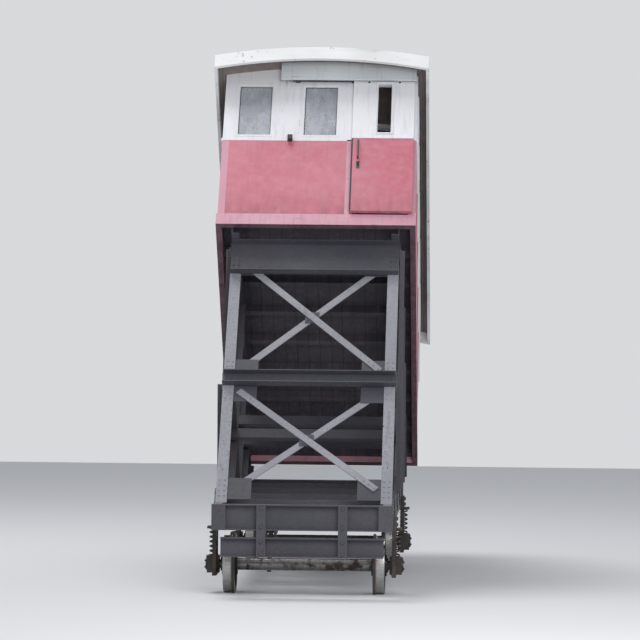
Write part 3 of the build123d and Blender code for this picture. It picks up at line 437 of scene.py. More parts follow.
def rail_paint(name):
    """Pink paint on the base rails' faces, and painted shade: dark maroon on their undersides."""
    finish = Finish(name, 0.5)
    colour = finish.over(finish.step(finish.clouds(0.70, 3.0), 0.30, 0.70), PINK, PINK_FADED)
    fibre = finish.clouds(0.010, 5.0, (8.0, 8.0, 1.0))
    colour = finish.over(finish.step(fibre, 0.50, 0.85, 0.0, 0.25), colour, (0.36, 0.19, 0.23))
    grime = finish.step(finish.clouds(0.050, 4.0, (1.0, 1.0, 5.0)), 0.50, 0.80, 0.0, 0.35)
    colour = finish.over(grime, colour, (0.20, 0.13, 0.14))
    worn = finish.step(finish.clouds(0.020, 8.0, (6.0, 6.0, 1.0)), 0.655, 0.670)
    colour = finish.over(worn, colour, (0.34, 0.28, 0.26))
    # Painted shade: faces that turn down are coloured dark maroon.
    under = finish.step(finish.axis(2, finish.facing), -0.4, -0.6)
    dark = finish.over(finish.step(fibre, 0.35, 0.65), RAIL_UNDERSIDE_SHADE, (0.085, 0.045, 0.058))
    finish.colour(finish.dusted(finish.over(under, colour, dark), 0.35))
    finish.rough(finish.step(finish.sums("ADD", worn, fibre), 0.2, 1.4, 0.42, 0.85))
    finish.relief(finish.sums("SUBTRACT", finish.sums("MULTIPLY", fibre, 0.5), worn), 0.0010)
    return finish.material


def dusty_glass(name):
    """Window glass with a film of dust in soft patches, and streaks where rain and rags have run; its pale bluish
    colour is also a painted reflection of the sky.
    """
    finish = Finish(name, 0.06)
    finish.shader.inputs["IOR"].default_value = 1.5
    film = finish.step(finish.clouds(0.28, 5.0), 0.30, 0.72, 0.42, 0.70)
    wiped = finish.step(finish.clouds(0.05, 3.0, (1.0, 1.0, 3.0)), 0.40, 0.66, 0.0, 0.16)
    dust_and_sky_sheen = finish.sums("ADD", film, wiped)
    # Painted reflection: the film's pale bluish colour stands in for sky seen in the glass, as well as dust.
    finish.colour(finish.over(dust_and_sky_sheen, (0.72, 0.75, 0.80), (0.74, 0.76, 0.83)))
    finish.link(finish.step(dust_and_sky_sheen, 0.0, 1.0, 0.98, 0.35), finish.shader.inputs["Transmission Weight"])
    finish.rough(finish.step(dust_and_sky_sheen, 0.2, 0.7, 0.05, 0.30))
    finish.relief(finish.clouds(0.35, 2.0), 0.0006)
    return finish.material


def varnished_slats(name):
    """Brown varnished wood, its grain along the bench, paler where it is sat on."""
    finish = Finish(name, 0.35)
    fibre = finish.clouds(0.012, 6.0, (1.0, 25.0, 1.0))
    colour = finish.over(finish.step(fibre, 0.35, 0.65), (0.30, 0.145, 0.055), (0.17, 0.075, 0.028))
    sat = finish.step(finish.clouds(0.35, 3.0), 0.48, 0.62, 0.0, 0.45)
    finish.colour(finish.over(sat, colour, (0.42, 0.25, 0.12)))
    finish.rough(finish.step(sat, 0.0, 0.45, 0.28, 0.52))
    finish.relief(fibre, 0.0006)
    return finish.material


def handled_metal(name, shade, dull, roughness):
    """Bright metal that hands keep clean, with dull specks between."""
    finish = Finish(name, roughness, 1.0)
    specks = finish.step(finish.clouds(0.050, 5.0), 0.48, 0.74, 0.0, 0.35)
    finish.colour(finish.over(specks, shade, dull))
    finish.rough(finish.step(specks, 0.0, 0.35, roughness, roughness + 0.18))
    finish.relief(finish.clouds(0.005, 4.0), 0.0003)
    return finish.material


def opal_glass(name):
    finish = Finish(name, 0.18)
    finish.shader.inputs["Transmission Weight"].default_value = 0.25
    flies = finish.step(finish.clouds(0.006, 5.0), 0.72, 0.76, 0.0, 0.7)
    haze = finish.over(finish.step(finish.clouds(0.14, 4.0), 0.35, 0.65), (0.82, 0.81, 0.76),
                       (0.68, 0.66, 0.60))
    finish.colour(finish.over(flies, haze, (0.10, 0.08, 0.06)))
    finish.rough(finish.step(flies, 0.0, 0.7, 0.16, 0.50))
    finish.relief(finish.clouds(0.05, 3.0), 0.0004)
    return finish.material


def old_rubber(name):
    finish = Finish(name, 0.75)
    colour = finish.over(finish.step(finish.clouds(0.02, 6.0), 0.35, 0.70), (0.022, 0.022, 0.023),
                         (0.060, 0.057, 0.055))
    finish.colour(finish.dusted(colour, 0.6))
    finish.rough(finish.step(finish.clouds(0.01, 5.0), 0.3, 0.7, 0.62, 0.88))
    finish.relief(finish.clouds(0.006, 5.0), 0.0008)
    return finish.material


def middle(node):
    """The middle of a node's box."""
    low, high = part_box(node)
    return (Vector(low) + Vector(high)) / 2


TREAD_R = 0.280              # radius of the wheels' treads
FINISHES = {
    "charcoal_steel": painted_steel("charcoal_steel", CHARCOAL, CHARCOAL_FADED, 0.02),
    "pale_steel": painted_steel("pale_steel", GREY, GREY_FADED, 0.0),
    "cast_iron": cast_iron("cast_iron"),
    "axle_steel": turned_steel("axle_steel"),
    # Painted shade: the floor's boards are near black, standing in for the shade under the cabin.
    "floor_timber": painted_boards("floor_timber", (0.050, 0.044, 0.058), (0.078, 0.070, 0.086), 0, 0.121,
                                   wood=(0.13, 0.11, 0.10)),
    "red_panel": faded_panel("red_panel", RED, RED_FADED),
    "pink_trim": rail_paint("pink_trim"),
    "white_joinery": painted_boards("white_joinery", WHITE, WHITE_FADED, grain=(1.0, 1.0, 12.0), gloss=0.4),
    "roof_white": roof_paint("roof_white"),
    "window_glass": dusty_glass("window_glass"),
    "bench_wood": varnished_slats("bench_wood"),
    "pole_steel": handled_metal("pole_steel", (0.60, 0.60, 0.59), (0.25, 0.23, 0.21), 0.22),
    "lamp_glass": opal_glass("lamp_glass"),
    "buffer_rubber": old_rubber("buffer_rubber"),
}
BRASS = handled_metal("old_brass", (0.62, 0.44, 0.18), (0.20, 0.13, 0.06), 0.30)
LOCK_IRON = handled_metal("lock_iron", (0.135, 0.128, 0.125), (0.050, 0.044, 0.040), 0.36)
# Painted shade: the dark colour of the soffit strips.
SOFFIT_SHADE_PAINT = painted_boards("soffit_painted_shade", SOFFIT_SHADE, SOFFIT_SHADE_FADED, wood=(0.15, 0.13, 0.12))
OTHER_FINISHES = {
    "corner_posts": painted_boards("corner_paint", WHITE, WHITE_FADED, grain=(1.0, 1.0, 12.0), gloss=0.4,
                                   below=(WAIST_Z, PINK)),
    "roof_fascias": roof_paint("fascia_white", soffit=False),
    # Painted shade: the header boards' white is greyer and bluer than the walls', as the shade under the roof's
    # edge.
    "end_header_boards": painted_boards("header_shaded_white", (0.71, 0.75, 0.77), (0.61, 0.645, 0.665),
                                        grain=(12.0, 1.0, 1.0)),
}
WHEEL_FINISHES = {
    "downhill_wheels": cast_iron("downhill_wheel_iron", middle("downhill_axle"), TREAD_R),
    "uphill_wheels": cast_iron("uphill_wheel_iron", middle("uphill_axle"), TREAD_R),
}


def dress(node, material):
    """Give a node of the model its finish."""
    mesh = frame["nodes"][node].data
    mesh.materials.clear()
    mesh.materials.append(material)


for subpart in frame["record"]["subparts"]:
    dress(subpart["node"], FINISHES[subpart["material_slot"]])
for node, material in (*WHEEL_FINISHES.items(), *OTHER_FINISHES.items()):
    dress(node, material)


# Making pieces

WELD = 0.00001               # corners closer than this are one


def keep(made, name, body, slot, material=None, smooth=False):
    """Close a bmesh as a named piece that rides on a body."""
    bmesh.ops.remove_doubles(made, verts=made.verts, dist=WELD)
    bmesh.ops.recalc_face_normals(made, faces=made.faces)
    mesh = bpy.data.meshes.new(name)
    made.to_mesh(mesh)
    made.free()
    mesh.materials.append(FINISHES[slot] if material is None else material)
    if smooth:
        mesh.shade_smooth()
    piece = bpy.data.objects.new(name, mesh)
    bpy.context.scene.collection.objects.link(piece)
    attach(piece, body)
    return piece


def facing(place, out, turn=UPRIGHT):
    """A frame at a place, its own Z along out, both given in the turned frame."""
    return turn @ Matrix.Translation(place) @ Vector(out).to_track_quat("Z", "Y").to_matrix().to_4x4()


def solids_of(node, turn=UPRIGHT):
    """Boxes of a node's separate solids, as lowest and highest corners in the turned frame."""
    made = bmesh.new()
    made.from_mesh(frame["nodes"][node].data)
    bmesh.ops.transform(made, matrix=turn.inverted(), verts=made.verts)
    bmesh.ops.remove_doubles(made, verts=made.verts, dist=WELD)
    waiting = set(made.verts)
    boxes = []
    while waiting:
        group = [waiting.pop()]
        for vert in group:
            for edge in vert.link_edges:
                other = edge.other_vert(vert)
                if other in waiting:
                    waiting.remove(other)
                    group.append(other)
        low = Vector([min(vert.co[axis] for vert in group) for axis in range(3)])
        high = Vector([max(vert.co[axis] for vert in group) for axis in range(3)])
        boxes.append((low, high))
    made.free()
    return sorted(boxes, key=lambda box: tuple(box[0]))


RIVET_R = 0.0115
RIVET_H = 0.62               # height of a rivet's head, as a share of its radius


def rivet(made, place, out, turn=UPRIGHT, radius=RIVET_R):
    """A snap head: a flattened dome half sunk in its plate."""
    shape = Matrix.Diagonal((radius, radius, radius * RIVET_H, 1.0))
    bmesh.ops.create_uvsphere(made, u_segments=8, v_segments=4, radius=1.0,
                              matrix=facing(place, out, turn) @ shape)


def bolt(made, place, out, turn=UPRIGHT, across=0.030, tall=0.013):
    """A hexagon head on a round washer."""
    seat = facing(place, out, turn)
    washer = across * 0.12
    bmesh.ops.create_cone(made, cap_ends=True, segments=14, radius1=across * 0.78, radius2=across * 0.74,
                          depth=washer, matrix=seat @ Matrix.Translation((0.0, 0.0, washer / 2)))
    bmesh.ops.create_cone(made, cap_ends=True, segments=6, radius1=across * 0.58, radius2=across * 0.53,
                          depth=tall, matrix=seat @ Matrix.Translation((0.0, 0.0, washer + tall / 2)))


def whole(verts):
    """Corners with their edges and faces."""
    return (verts + list({edge for vert in verts for edge in vert.link_edges})
            + list({face for vert in verts for face in vert.link_faces}))


def row(first, last, count):
    """Even steps from first to last."""
    return [first + (last - first) * i / (count - 1) for i in range(count)]


def strip(made, low, high, turn=UPRIGHT, soften=0.0):
    """A rectangular strip between two corners, its edges softened."""
    low = Vector(low)
    high = Vector(high)
    size = high - low
    shape = Matrix.Translation((low + high) / 2) @ Matrix.Diagonal((*size, 1.0))
    verts = bmesh.ops.create_cube(made, size=1.0, matrix=turn @ shape)["verts"]
    if soften:
        edges = list({edge for vert in verts for edge in vert.link_edges})
        bmesh.ops.bevel(made, geom=edges, offset=soften, segments=2, profile=0.5, affect="EDGES", material=-1)


# Rivets of the trestle

FRONT_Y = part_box("front_columns")[0][1]
COLUMN_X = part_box("front_columns")[1][0]
BRACE_T = 0.010
FLAT_BRACE_Y = FRONT_Y + BRACE_T
BRACE_RIVETS = (0.060, 0.130, 0.200)         # along a front brace from its end
SIDE_BRACE_RIVETS = (0.060, 0.120)
COLUMN_ROWS = (0.030, 0.082)                 # rivet rows in from the column's outer face
GUSSET_EDGE = 0.035                          # rivets in from a gusset's edge
CROSSING_EDGE = 0.030                        # rivets in from the edge of the plate where braces cross
BEAM_WEB_T = 0.010
BEAM_EDGE = 0.045                            # rivets in from a beam's flanges


def brace_rivets(made):
    """Three rivets at each end of each front brace, on its outer face."""
    for low, high in solids_of("front_braces"):
        falls = 1.0 if low.y < FLAT_BRACE_Y else -1.0
        start = Vector((-falls * high.x, 0.0, high.z))
        run = Vector((falls * 2 * high.x, 0.0, low.z - high.z))
        along = run.normalized()
        face, out = (low.y, -1.0) if falls > 0 else (high.y, 1.0)
        if falls < 0:
            face = low.y + BRACE_T
        for end, way in ((start, along), (start + run, -along)):
            for reach in BRACE_RIVETS:
                place = end + way * reach
                rivet(made, (place.x, face, place.z), (0.0, out, 0.0))


def front_rivets():
    """Rivets that join the front gussets to the columns, and the braces to the gussets."""
    pale = bmesh.new()
    dark = bmesh.new()
    brace_rivets(pale)
    for low, high in solids_of("front_gussets"):
        if high.y - low.y > 0.02:
            continue
        if abs(low.x + high.x) < 0.01:
            for x in (low.x + CROSSING_EDGE, high.x - CROSSING_EDGE):
                for z in (low.z + CROSSING_EDGE, high.z - CROSSING_EDGE):
                    rivet(dark, (x, low.y, z), (0.0, -1.0, 0.0))
                    rivet(dark, (x, high.y, z), (0.0, 1.0, 0.0))
            continue
        side = 1.0 if low.x > 0.0 else -1.0
        for z in row(low.z + GUSSET_EDGE, high.z - GUSSET_EDGE, 4):
            for inset in COLUMN_ROWS:
                x = side * (COLUMN_X - inset)
                rivet(pale, (x, FRONT_Y, z), (0.0, -1.0, 0.0))
                rivet(dark, (x, high.y, z), (0.0, 1.0, 0.0))
    keep(pale, "front_rivets", "car", "pale_steel", smooth=True)
    keep(dark, "gusset_rivets", "car", "charcoal_steel", smooth=True)


def front_beam_rivets():
    """Rivets in the webs of the front beams at the columns, and along both flanges."""
    made = bmesh.new()
    for low, high in solids_of("front_beams"):
        web_y = high.y - BEAM_WEB_T
        for side in (-1.0, 1.0):
            for inset in COLUMN_ROWS:
                for z in row(low.z + BEAM_EDGE, high.z - BEAM_EDGE, 2 + round((high.z - low.z) / 0.12)):
                    rivet(made, (side * (COLUMN_X - inset), web_y, z), (0.0, -1.0, 0.0))
        flange_y = (low.y + high.y) / 2 - 0.010
        for x in row(-COLUMN_X + 0.10, COLUMN_X - 0.10, 9):
            rivet(made, (x, flange_y, low.z), (0.0, 0.0, -1.0))
            rivet(made, (x, flange_y, high.z), (0.0, 0.0, 1.0))
    return keep(made, "front_beam_rivets", "car", "charcoal_steel", smooth=True)


def side_gusset_rivets():
    """Rows of rivets on the outer faces of the side gussets, and at the ends of the side braces."""
    made = bmesh.new()
    for low, high in solids_of("side_gussets"):
        side = 1.0 if low.x > 0.0 else -1.0
        face = max(abs(low.x), abs(high.x)) * side
        for y in row(low.y + GUSSET_EDGE, high.y - GUSSET_EDGE, 3):
            for z in row(low.z + GUSSET_EDGE, high.z - GUSSET_EDGE, max(3, round((high.z - low.z) / 0.09))):
                rivet(made, (face, y, z), (side, 0.0, 0.0))
    for low, high in solids_of("side_braces"):
        side = 1.0 if low.x > 0.0 else -1.0
        face = side * (min(abs(low.x), abs(high.x)) + BRACE_T)
        top = Vector((face, low.y, high.z))
        foot = Vector((face, high.y, low.z))
        along = (foot - top).normalized()
        for end, way in ((top, along), (foot, -along)):
            for reach in SIDE_BRACE_RIVETS:
                rivet(made, end + way * reach, (side, 0.0, 0.0), radius=0.010)
    return keep(made, "side_gusset_rivets", "car", "charcoal_steel", smooth=True)


# Bolts of the underframe, in the frame of the slope

GUIDE_T = 0.040
HEADSTOCK_WEB_T = 0.012
HEADSTOCK_ROWS = (0.020, 0.062)              # bolt rows in from the columns' outer faces
GUARD_HANGER_X = 0.395
GUIDE_BOLT = 0.026


def underframe_bolts():
    """Bolts of the headstocks, the guard beam's hangers and the axle guides."""
    made = bmesh.new()
    for low, high in solids_of("headstocks", SLOPE):
        downhill = low.y < -3.0
        face = high.y - HEADSTOCK_WEB_T if downhill else low.y + HEADSTOCK_WEB_T
        out = (0.0, -1.0, 0.0) if downhill else (0.0, 1.0, 0.0)
        for side in (-1.0, 1.0):
            for inset in HEADSTOCK_ROWS:
                for z in row(low.z + 0.050, high.z - 0.050, 3):
                    bolt(made, (side * (COLUMN_X - inset), face, z), out, SLOPE)
    low, high = solids_of("guard_beam", SLOPE)[0]
    for x in (-GUARD_HANGER_X, GUARD_HANGER_X):
        for z in (low.z + 0.035, low.z + 0.150, high.z - 0.215, high.z - 0.035):
            bolt(made, (x, low.y, z), (0.0, -1.0, 0.0), SLOPE)
    for low, high in solids_of("axle_guides", SLOPE):
        side = 1.0 if low.x > 0.0 else -1.0
        lap_face = side * (COLUMN_X + GUIDE_T)
        leg_face = side * (min(abs(high.x), abs(low.x)) + GUIDE_T)
        centre = (low.y + high.y) / 2
        for y in (centre - 0.062, centre, centre + 0.062):
            for z in (high.z - 0.030, high.z - 0.088):
                bolt(made, (lap_face, y, z), (side, 0.0, 0.0), SLOPE, GUIDE_BOLT)
        for y in (low.y + 0.031, high.y - 0.031):
            bolt(made, (leg_face, y, low.z + 0.030), (side, 0.0, 0.0), SLOPE, GUIDE_BOLT)
    return keep(made, "underframe_bolts", "car", "charcoal_steel")


COVER_BOLT_R = 0.045         # circle of the bolts round an axle-box cover
LID_RISE = 0.072             # oil filler's lid above the cover's middle
LID_SET = 0.014              # its face behind the cover's


def axle_box_fittings():
    """Four bolts round each axle-box cover, and the lid of its oil filler above."""
    made = bmesh.new()
    for low, high in solids_of("axle_boxes", SLOPE):
        side = 1.0 if low.x > 0.0 else -1.0
        face = max(abs(low.x), abs(high.x)) * side
        centre = Vector((face, (low.y + high.y) / 2, (low.z + high.z) / 2))
        for quarter in range(4):
            angle = math.radians(45.0 + 90.0 * quarter)
            place = centre + Vector((0.0, math.cos(angle), math.sin(angle))) * COVER_BOLT_R
            bolt(made, place, (side, 0.0, 0.0), SLOPE, 0.018, 0.009)
        lid = facing((face - side * LID_SET, centre.y, centre.z + LID_RISE), (side, 0.0, 0.0), SLOPE)
        bmesh.ops.create_cone(made, cap_ends=True, segments=16, radius1=0.011, radius2=0.008, depth=0.012,
                              matrix=lid @ Matrix.Translation((0.0, 0.0, 0.006)))
    return keep(made, "axle_box_fittings", "car", "cast_iron")


COIL_R = 0.0345
WIRE_R = 0.0088
COIL_TURNS = 5
SEAT_T = 0.008               # flat seats at the ends of a spring
SEAT_R = 0.042


def spring_coils():
    """A real coil in place of each grooved column, with a flat seat at either end."""
    made = bmesh.new()
    for low, high in solids_of("axle_springs", SLOPE):
        axis = Vector(((low.x + high.x) / 2, (low.y + high.y) / 2, low.z))
        tall = high.z - low.z
        for level in (SEAT_T / 2, tall - SEAT_T / 2):
            bmesh.ops.create_cone(made, cap_ends=True, segments=24, radius1=SEAT_R, radius2=SEAT_R,
                                  depth=SEAT_T,
                                  matrix=SLOPE @ Matrix.Translation(axis + Vector((0.0, 0.0, level))))
        rise = tall - 2 * SEAT_T - 2 * WIRE_R
        ring = bmesh.ops.create_circle(made, cap_ends=True, segments=8, radius=WIRE_R)["verts"]
        start = (Matrix.Translation((COIL_R, 0.0, SEAT_T + WIRE_R))
                 @ Matrix.Rotation(math.radians(90.0), 4, "X"))
        bmesh.ops.transform(made, matrix=start, verts=ring)
        steps = COIL_TURNS * 16
        before = set(made.verts)
        bmesh.ops.spin(made, geom=whole(ring), cent=(0.0, 0.0, 0.0), axis=(0.0, 0.0, 1.0),
                       dvec=(0.0, 0.0, rise / steps), angle=2 * math.pi * COIL_TURNS, steps=steps,
                       use_duplicate=False)
        coil = list((set(made.verts) - before) | set(ring))
        bmesh.ops.transform(made, matrix=SLOPE @ Matrix.Translation(axis), verts=coil)
    piece = keep(made, "spring_coils", "car", "cast_iron", smooth=True)
    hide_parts("axle_springs")
    return piece


COLLAR_X = 0.058             # middle of each collar from the pawl's


def pawl_collars():
    """A collar outside each cheek of the pawl's hanger, on the shaft's ends."""
    made = bmesh.new()
    pivot = next(Vector(joint["pos_m"]) for joint in frame["joints"] if joint["name"] == "pawl_drop")
    for side in (-1.0, 1.0):
        seat = facing((pivot.x + side * COLLAR_X, pivot.y, pivot.z), (side, 0.0, 0.0))
        bmesh.ops.create_cone(made, cap_ends=True, segments=24, radius1=0.036, radius2=0.033, depth=0.012,
                              matrix=seat)
    return keep(made, "pawl_collars", "car", "axle_steel")


# Cabin trim

END_BEAD = 0.003             # trim on the end walls, thin enough for the sliding door
SIDE_BEAD = 0.012
BEAD_W = 0.030
PUTTY_W = 0.010
PUTTY_H = 0.006


def wall_frame(out):
    """Turns X and Y of a flat drawing into along-the-wall and up, and its Z into out of the wall."""
    along = Vector((0.0, 0.0, 1.0)).cross(Vector(out))
    return Matrix(((along.x, 0.0, out[0], 0.0), (along.y, 0.0, out[1], 0.0), (0.0, 1.0, 0.0, 0.0),
                   (0.0, 0.0, 0.0, 1.0)))


def bead(made, centre, width, height, out, proud, band):
    """A mitred bead round an opening: a flat ring on the wall, raised and softened."""
    grid = bmesh.ops.create_grid(made, x_segments=1, y_segments=1, size=0.5)["verts"]
    outer = Matrix.Diagonal((width + 2 * band, height + 2 * band, 1.0, 1.0))
    bmesh.ops.transform(made, matrix=outer, verts=grid)
    face = list({face for vert in grid for face in vert.link_faces})
    ring = bmesh.ops.inset_region(made, faces=face, thickness=band, use_boundary=True)["faces"]
    bmesh.ops.delete(made, geom=face, context="FACES")
    raised = bmesh.ops.extrude_face_region(made, geom=ring)["geom"]
    top = [part for part in raised if isinstance(part, bmesh.types.BMVert)]
    bmesh.ops.translate(made, vec=(0.0, 0.0, proud), verts=top)
    rim = [edge for edge in {edge for vert in top for edge in vert.link_edges}
           if all(vert in top for vert in edge.verts) and len(edge.link_faces) == 2
           and edge.calc_face_angle(0.0) > 1.0]
    shape = bmesh.ops.bevel(made, geom=rim, offset=min(proud * 0.45, 0.005), segments=2, profile=0.5,
                            affect="EDGES", material=-1)["verts"]
    found = set(shape) | {vert for face in ring if face.is_valid for vert in face.verts}
    waiting = list(found)
    for vert in waiting:
        for edge in vert.link_edges:
            other = edge.other_vert(vert)
            if other not in found:
                found.add(other)
                waiting.append(other)
    bmesh.ops.transform(made, matrix=Matrix.Translation(centre) @ wall_frame(out), verts=list(found))


def panes(axis):
    """Boxes of the panes that are thin along an axis: 0 for the long sides, 1 for the ends."""
    return [(low, high) for low, high in solids_of("window_glass") if high[axis] - low[axis] < 0.05]


def pane_rings(name, slot, inside, side_proud, end_proud, band, on_glass):
    """Rings round every fixed pane, on the outer faces of the walls or on the glass itself."""
    made = bmesh.new()
    for axis, walls, proud in ((0, (-SIDE_X, SIDE_X), side_proud), (1, (CAB_FRONT, CAB_BACK), end_proud)):
        for low, high in panes(axis):
            centre = (low + high) / 2
            size = high - low
            far = centre[axis] > sum(walls) / 2
            out = [0.0, 0.0, 0.0]
            out[axis] = 1.0 if far else -1.0
            centre[axis] = (high if far else low)[axis] if on_glass else walls[far]
            bead(made, centre, size[1 - axis] - 2 * inside, size.z - 2 * inside, out, proud, band)
    return keep(made, name, "car", slot)


def waist_mouldings():
    """Half-round mouldings along the waist and above the base rails of both long sides."""
    made = bmesh.new()
    for level, size in ((WAIST_Z, 0.024), (PANEL_Z + 0.020, 0.016)):
        for side in (-1.0, 1.0):
            section = bmesh.ops.create_circle(made, cap_ends=True, segments=14, radius=1.0)["verts"]
            shape = (Matrix.Translation((side * SIDE_X, CAB_FRONT + 0.004, level))
                     @ Matrix.Rotation(math.radians(90.0), 4, "X")
                     @ Matrix.Diagonal((size * 0.6, size, 1.0, 1.0)))
            bmesh.ops.transform(made, matrix=shape, verts=section)
            face = list({face for vert in section for face in vert.link_faces})
            end = bmesh.ops.extrude_face_region(made, geom=face)["geom"]
            bmesh.ops.translate(made, vec=(0.0, CAB_BACK - CAB_FRONT - 0.008, 0.0),
                                verts=[part for part in end if isinstance(part, bmesh.types.BMVert)])
    return keep(made, "waist_mouldings", "car", "white_joinery")


BATTEN_W = 0.042


def panel_battens():
    """Upright cover strips on the side panels, under each window pillar."""
    made = bmesh.new()
    places = sorted({round((low.y + high.y) / 2, 4) for low, high in panes(0)})
    joints = [(near + far) / 2 for near, far in zip(places, places[1:])]
    for side in (-1.0, 1.0):
        for y in joints:
            faces = (side * (SIDE_X - 0.002), side * (SIDE_X + 0.009))
            strip(made, (min(faces), y - BATTEN_W / 2, PANEL_Z + 0.040),
                  (max(faces), y + BATTEN_W / 2, WAIST_Z - 0.026), soften=0.003)
    return keep(made, "panel_battens", "car", "red_panel")


DOOR_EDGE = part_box("downhill_door_panel")[0][0]
FLAT_PROUD = 0.0028          # flat strips on the end walls, behind the sliding doors
FLAT_SUNK = 0.002


def end_wall_strips(name, slot, low, high):
    """A thin flat strip on the downhill end wall, up to the door, and its twin on the uphill one."""
    made = bmesh.new()
    for turn in (UPRIGHT, HALF_TURN):
        strip(made, (low[0], CAB_FRONT - FLAT_PROUD, low[1]),
              (DOOR_EDGE - 0.004, CAB_FRONT + FLAT_SUNK, high), turn)
    return keep(made, name, "car", slot)


DOOR_LIGHT_IN = 0.343        # middle of a door's light from the cabin's side
DOOR_LIGHT_W = 0.140
DOOR_BAND = 0.022            # half the height of the band at a door's waist
LOCK_DROP = 0.410            # lock below the waist
LOCK_IN = 0.070              # lock from the door's free edge


def door_trim(end, turn):
    """Bead round the door's light, band at its waist, a dark edge seal that also stands in for the shadow along
    the door's edge, lock with its knob, and roller bolts.
    """
    low, high = (Vector(corner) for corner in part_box("downhill_door_panel"))
    frame_low, frame_high = (Vector(corner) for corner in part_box("downhill_door_frame"))
    made = bmesh.new()
    pane_low, pane_high = panes(1)[0]
    bead(made, Vector((SIDE_X - DOOR_LIGHT_IN, low.y, (pane_low.z + pane_high.z) / 2)), DOOR_LIGHT_W,
         pane_high.z - pane_low.z, (0.0, -1.0, 0.0), 0.010, 0.026)
    strip(made, (low.x, low.y - 0.008, WAIST_Z - DOOR_BAND), (high.x, low.y + 0.002, WAIST_Z + DOOR_BAND),
          soften=0.003)
    bmesh.ops.transform(made, matrix=turn, verts=made.verts)
    keep(made, end + "_door_beads", end + "_door", "white_joinery")
    lock = bmesh.new()
    x = low.x + LOCK_IN
    z = WAIST_Z - LOCK_DROP
    strip(lock, (x - 0.018, low.y - 0.004, z - 0.050), (x + 0.018, low.y + 0.001, z + 0.050), soften=0.0015)
    bmesh.ops.create_uvsphere(lock, u_segments=20, v_segments=12, radius=0.013,
                              matrix=Matrix.Translation((x, low.y - 0.024, z + 0.018)))
    bmesh.ops.create_cone(lock, cap_ends=True, segments=16, radius1=0.008, radius2=0.006, depth=0.024,
                          matrix=facing((x, low.y - 0.014, z + 0.018), (0.0, -1.0, 0.0)))
    bmesh.ops.transform(lock, matrix=turn, verts=lock.verts)
    keep(lock, end + "_door_lock", end + "_door", "charcoal_steel", LOCK_IRON)
    # Painted shade: the dark rubber seal on the door's free edge also stands in for the shadow along that edge.
    seal = bmesh.new()
    strip(seal, (low.x - 0.003, low.y - 0.002, low.z + 0.004),
          (low.x + 0.012, high.y - 0.002, WAIST_Z - DOOR_BAND), soften=0.0012)
    bmesh.ops.transform(seal, matrix=turn, verts=seal.verts)
    keep(seal, end + "_door_seal_and_shade", end + "_door", "buffer_rubber")
    bolts = bmesh.new()
    quarter = (high.x - low.x) / 4
    for bolt_x in (low.x + quarter, high.x - quarter):
        for bolt_z in (frame_high.z - 0.026, frame_high.z - 0.140):
            bolt(bolts, (bolt_x, frame_low.y, bolt_z), (0.0, -1.0, 0.0), UPRIGHT, 0.016, 0.007)
    bmesh.ops.transform(bolts, matrix=turn, verts=bolts.verts)
    keep(bolts, end + "_door_bolts", end + "_door", "charcoal_steel")


# Roof

ROOF_LOW, ROOF_HIGH = (Vector(corner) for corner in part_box("roof_shell"))
ROOF_RISE = 0.110
ROOF_R = (SIDE_X ** 2 + ROOF_RISE ** 2) / (2 * ROOF_RISE)
ROOF_CENTRE_Z = EAVES_Z + ROOF_RISE - ROOF_R
ROOF_TOP_R = ROOF_HIGH.z - ROOF_CENTRE_Z


def roof_seams():
    """Standing seams of the covering, bent over the arch."""
    made = bmesh.new()
    reach = math.asin((ROOF_HIGH.x - 0.004) / ROOF_TOP_R)
    for y in row(ROOF_LOW.y + 0.030, ROOF_HIGH.y - 0.030, 7):
        verts = bmesh.ops.create_circle(made, cap_ends=True, segments=10, radius=1.0)["verts"]
        start = (Matrix.Translation((0.0, y, ROOF_CENTRE_Z)) @ Matrix.Rotation(-reach, 4, "Y")
                 @ Matrix.Translation((0.0, 0.0, ROOF_TOP_R - 0.001))
                 @ Matrix.Rotation(math.radians(90.0), 4, "Y") @ Matrix.Diagonal((0.009, 0.016, 1.0, 1.0)))
        bmesh.ops.transform(made, matrix=start, verts=verts)
        bmesh.ops.spin(made, geom=whole(verts), cent=(0.0, y, ROOF_CENTRE_Z), axis=(0.0, 1.0, 0.0),
                       angle=2 * reach, steps=24, use_duplicate=False)
    return keep(made, "roof_seams", "car", "roof_white", smooth=True)


def soffit_boards():
    """Cover strips along the roof's underside between the walls and the fascias, coloured dark as painted shade.
    """
    made = bmesh.new()
    for side in (-1.0, 1.0):
        for x in (SIDE_X + 0.030, SIDE_X + 0.062):
            level = ROOF_CENTRE_Z + math.sqrt(ROOF_R ** 2 - x ** 2)
            faces = (side * (x - 0.010), side * (x + 0.010))
            strip(made, (min(faces), ROOF_LOW.y + 0.040, level - 0.010),
                  (max(faces), ROOF_HIGH.y - 0.040, level + 0.006), soften=0.003)
    return keep(made, "soffit_boards", "car", "roof_white", SOFFIT_SHADE_PAINT)


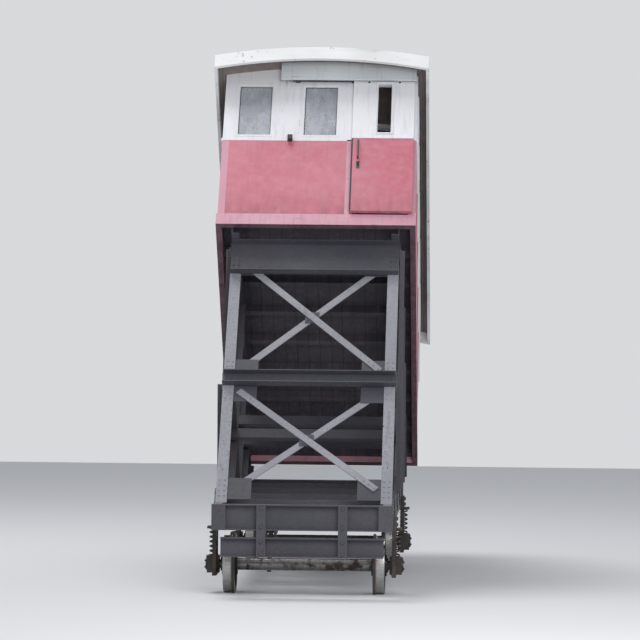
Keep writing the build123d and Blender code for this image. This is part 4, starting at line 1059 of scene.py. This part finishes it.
def lamp_rim():
    """A brass rim round the ceiling lamp."""
    made = bmesh.new()
    low, high = (Vector(corner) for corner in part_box("ceiling_lamp"))
    centre = (low + high) / 2
    section = bmesh.ops.create_circle(made, segments=10, radius=0.010)["verts"]
    place = (Matrix.Translation((centre.x + (high.x - low.x) / 2, centre.y, low.z + 0.060))
             @ Matrix.Rotation(math.radians(90.0), 4, "X"))
    bmesh.ops.transform(made, matrix=place, verts=section)
    bmesh.ops.spin(made, geom=whole(section), cent=centre, axis=(0.0, 0.0, 1.0), angle=2 * math.pi,
                   steps=40, use_merge=True, use_duplicate=False)
    return keep(made, "lamp_rim", "car", "lamp_glass", BRASS, smooth=True)


def pole_flanges():
    """Turned flanges where the grab poles meet the deck."""
    made = bmesh.new()
    for low, high in solids_of("grab_poles"):
        centre = (low + high) / 2
        seat = Matrix.Translation((centre.x, centre.y, low.z + 0.009))
        bmesh.ops.create_cone(made, cap_ends=True, segments=24, radius1=0.045, radius2=0.026, depth=0.018,
                              matrix=seat)
    return keep(made, "pole_flanges", "car", "pole_steel")


def bench_screws():
    """Brass screw heads where the slats cross their standards."""
    made = bmesh.new()
    standards = solids_of("bench_standards")
    for low, high in solids_of("benches"):
        seat = high.z - low.z < 0.045
        for standard_low, standard_high in standards:
            if (standard_low.x > 0.0) != (low.x > 0.0):
                continue
            y = (standard_low.y + standard_high.y) / 2
            if seat:
                rivet(made, ((low.x + high.x) / 2, y, high.z), (0.0, 0.0, 1.0), radius=0.007)
            else:
                side = 1.0 if low.x > 0.0 else -1.0
                rivet(made, (min(abs(low.x), abs(high.x)) * side, y, (low.z + high.z) / 2), (-side, 0.0, 0.0),
                      radius=0.007)
    return keep(made, "bench_screws", "car", "bench_wood", BRASS, smooth=True)


front_rivets()
front_beam_rivets()
side_gusset_rivets()
underframe_bolts()
axle_box_fittings()
spring_coils()
pawl_collars()
pane_rings("window_beads", "white_joinery", 0.0, SIDE_BEAD, END_BEAD, BEAD_W, False)
pane_rings("glazing_putty", "buffer_rubber", PUTTY_W, PUTTY_H, PUTTY_H, PUTTY_W, True)
waist_mouldings()
panel_battens()
end_wall_strips("jamb_strips", "pink_trim", (DOOR_EDGE - 0.052, PANEL_Z + 0.002), WAIST_Z - 0.002)
end_wall_strips("end_waist_bands", "white_joinery", (-SIDE_X + 0.004, WAIST_Z - 0.018), WAIST_Z + 0.018)
door_trim("downhill", UPRIGHT)
door_trim("uphill", HALF_TURN)
roof_seams()
soffit_boards()
lamp_rim()
pole_flanges()
bench_screws()
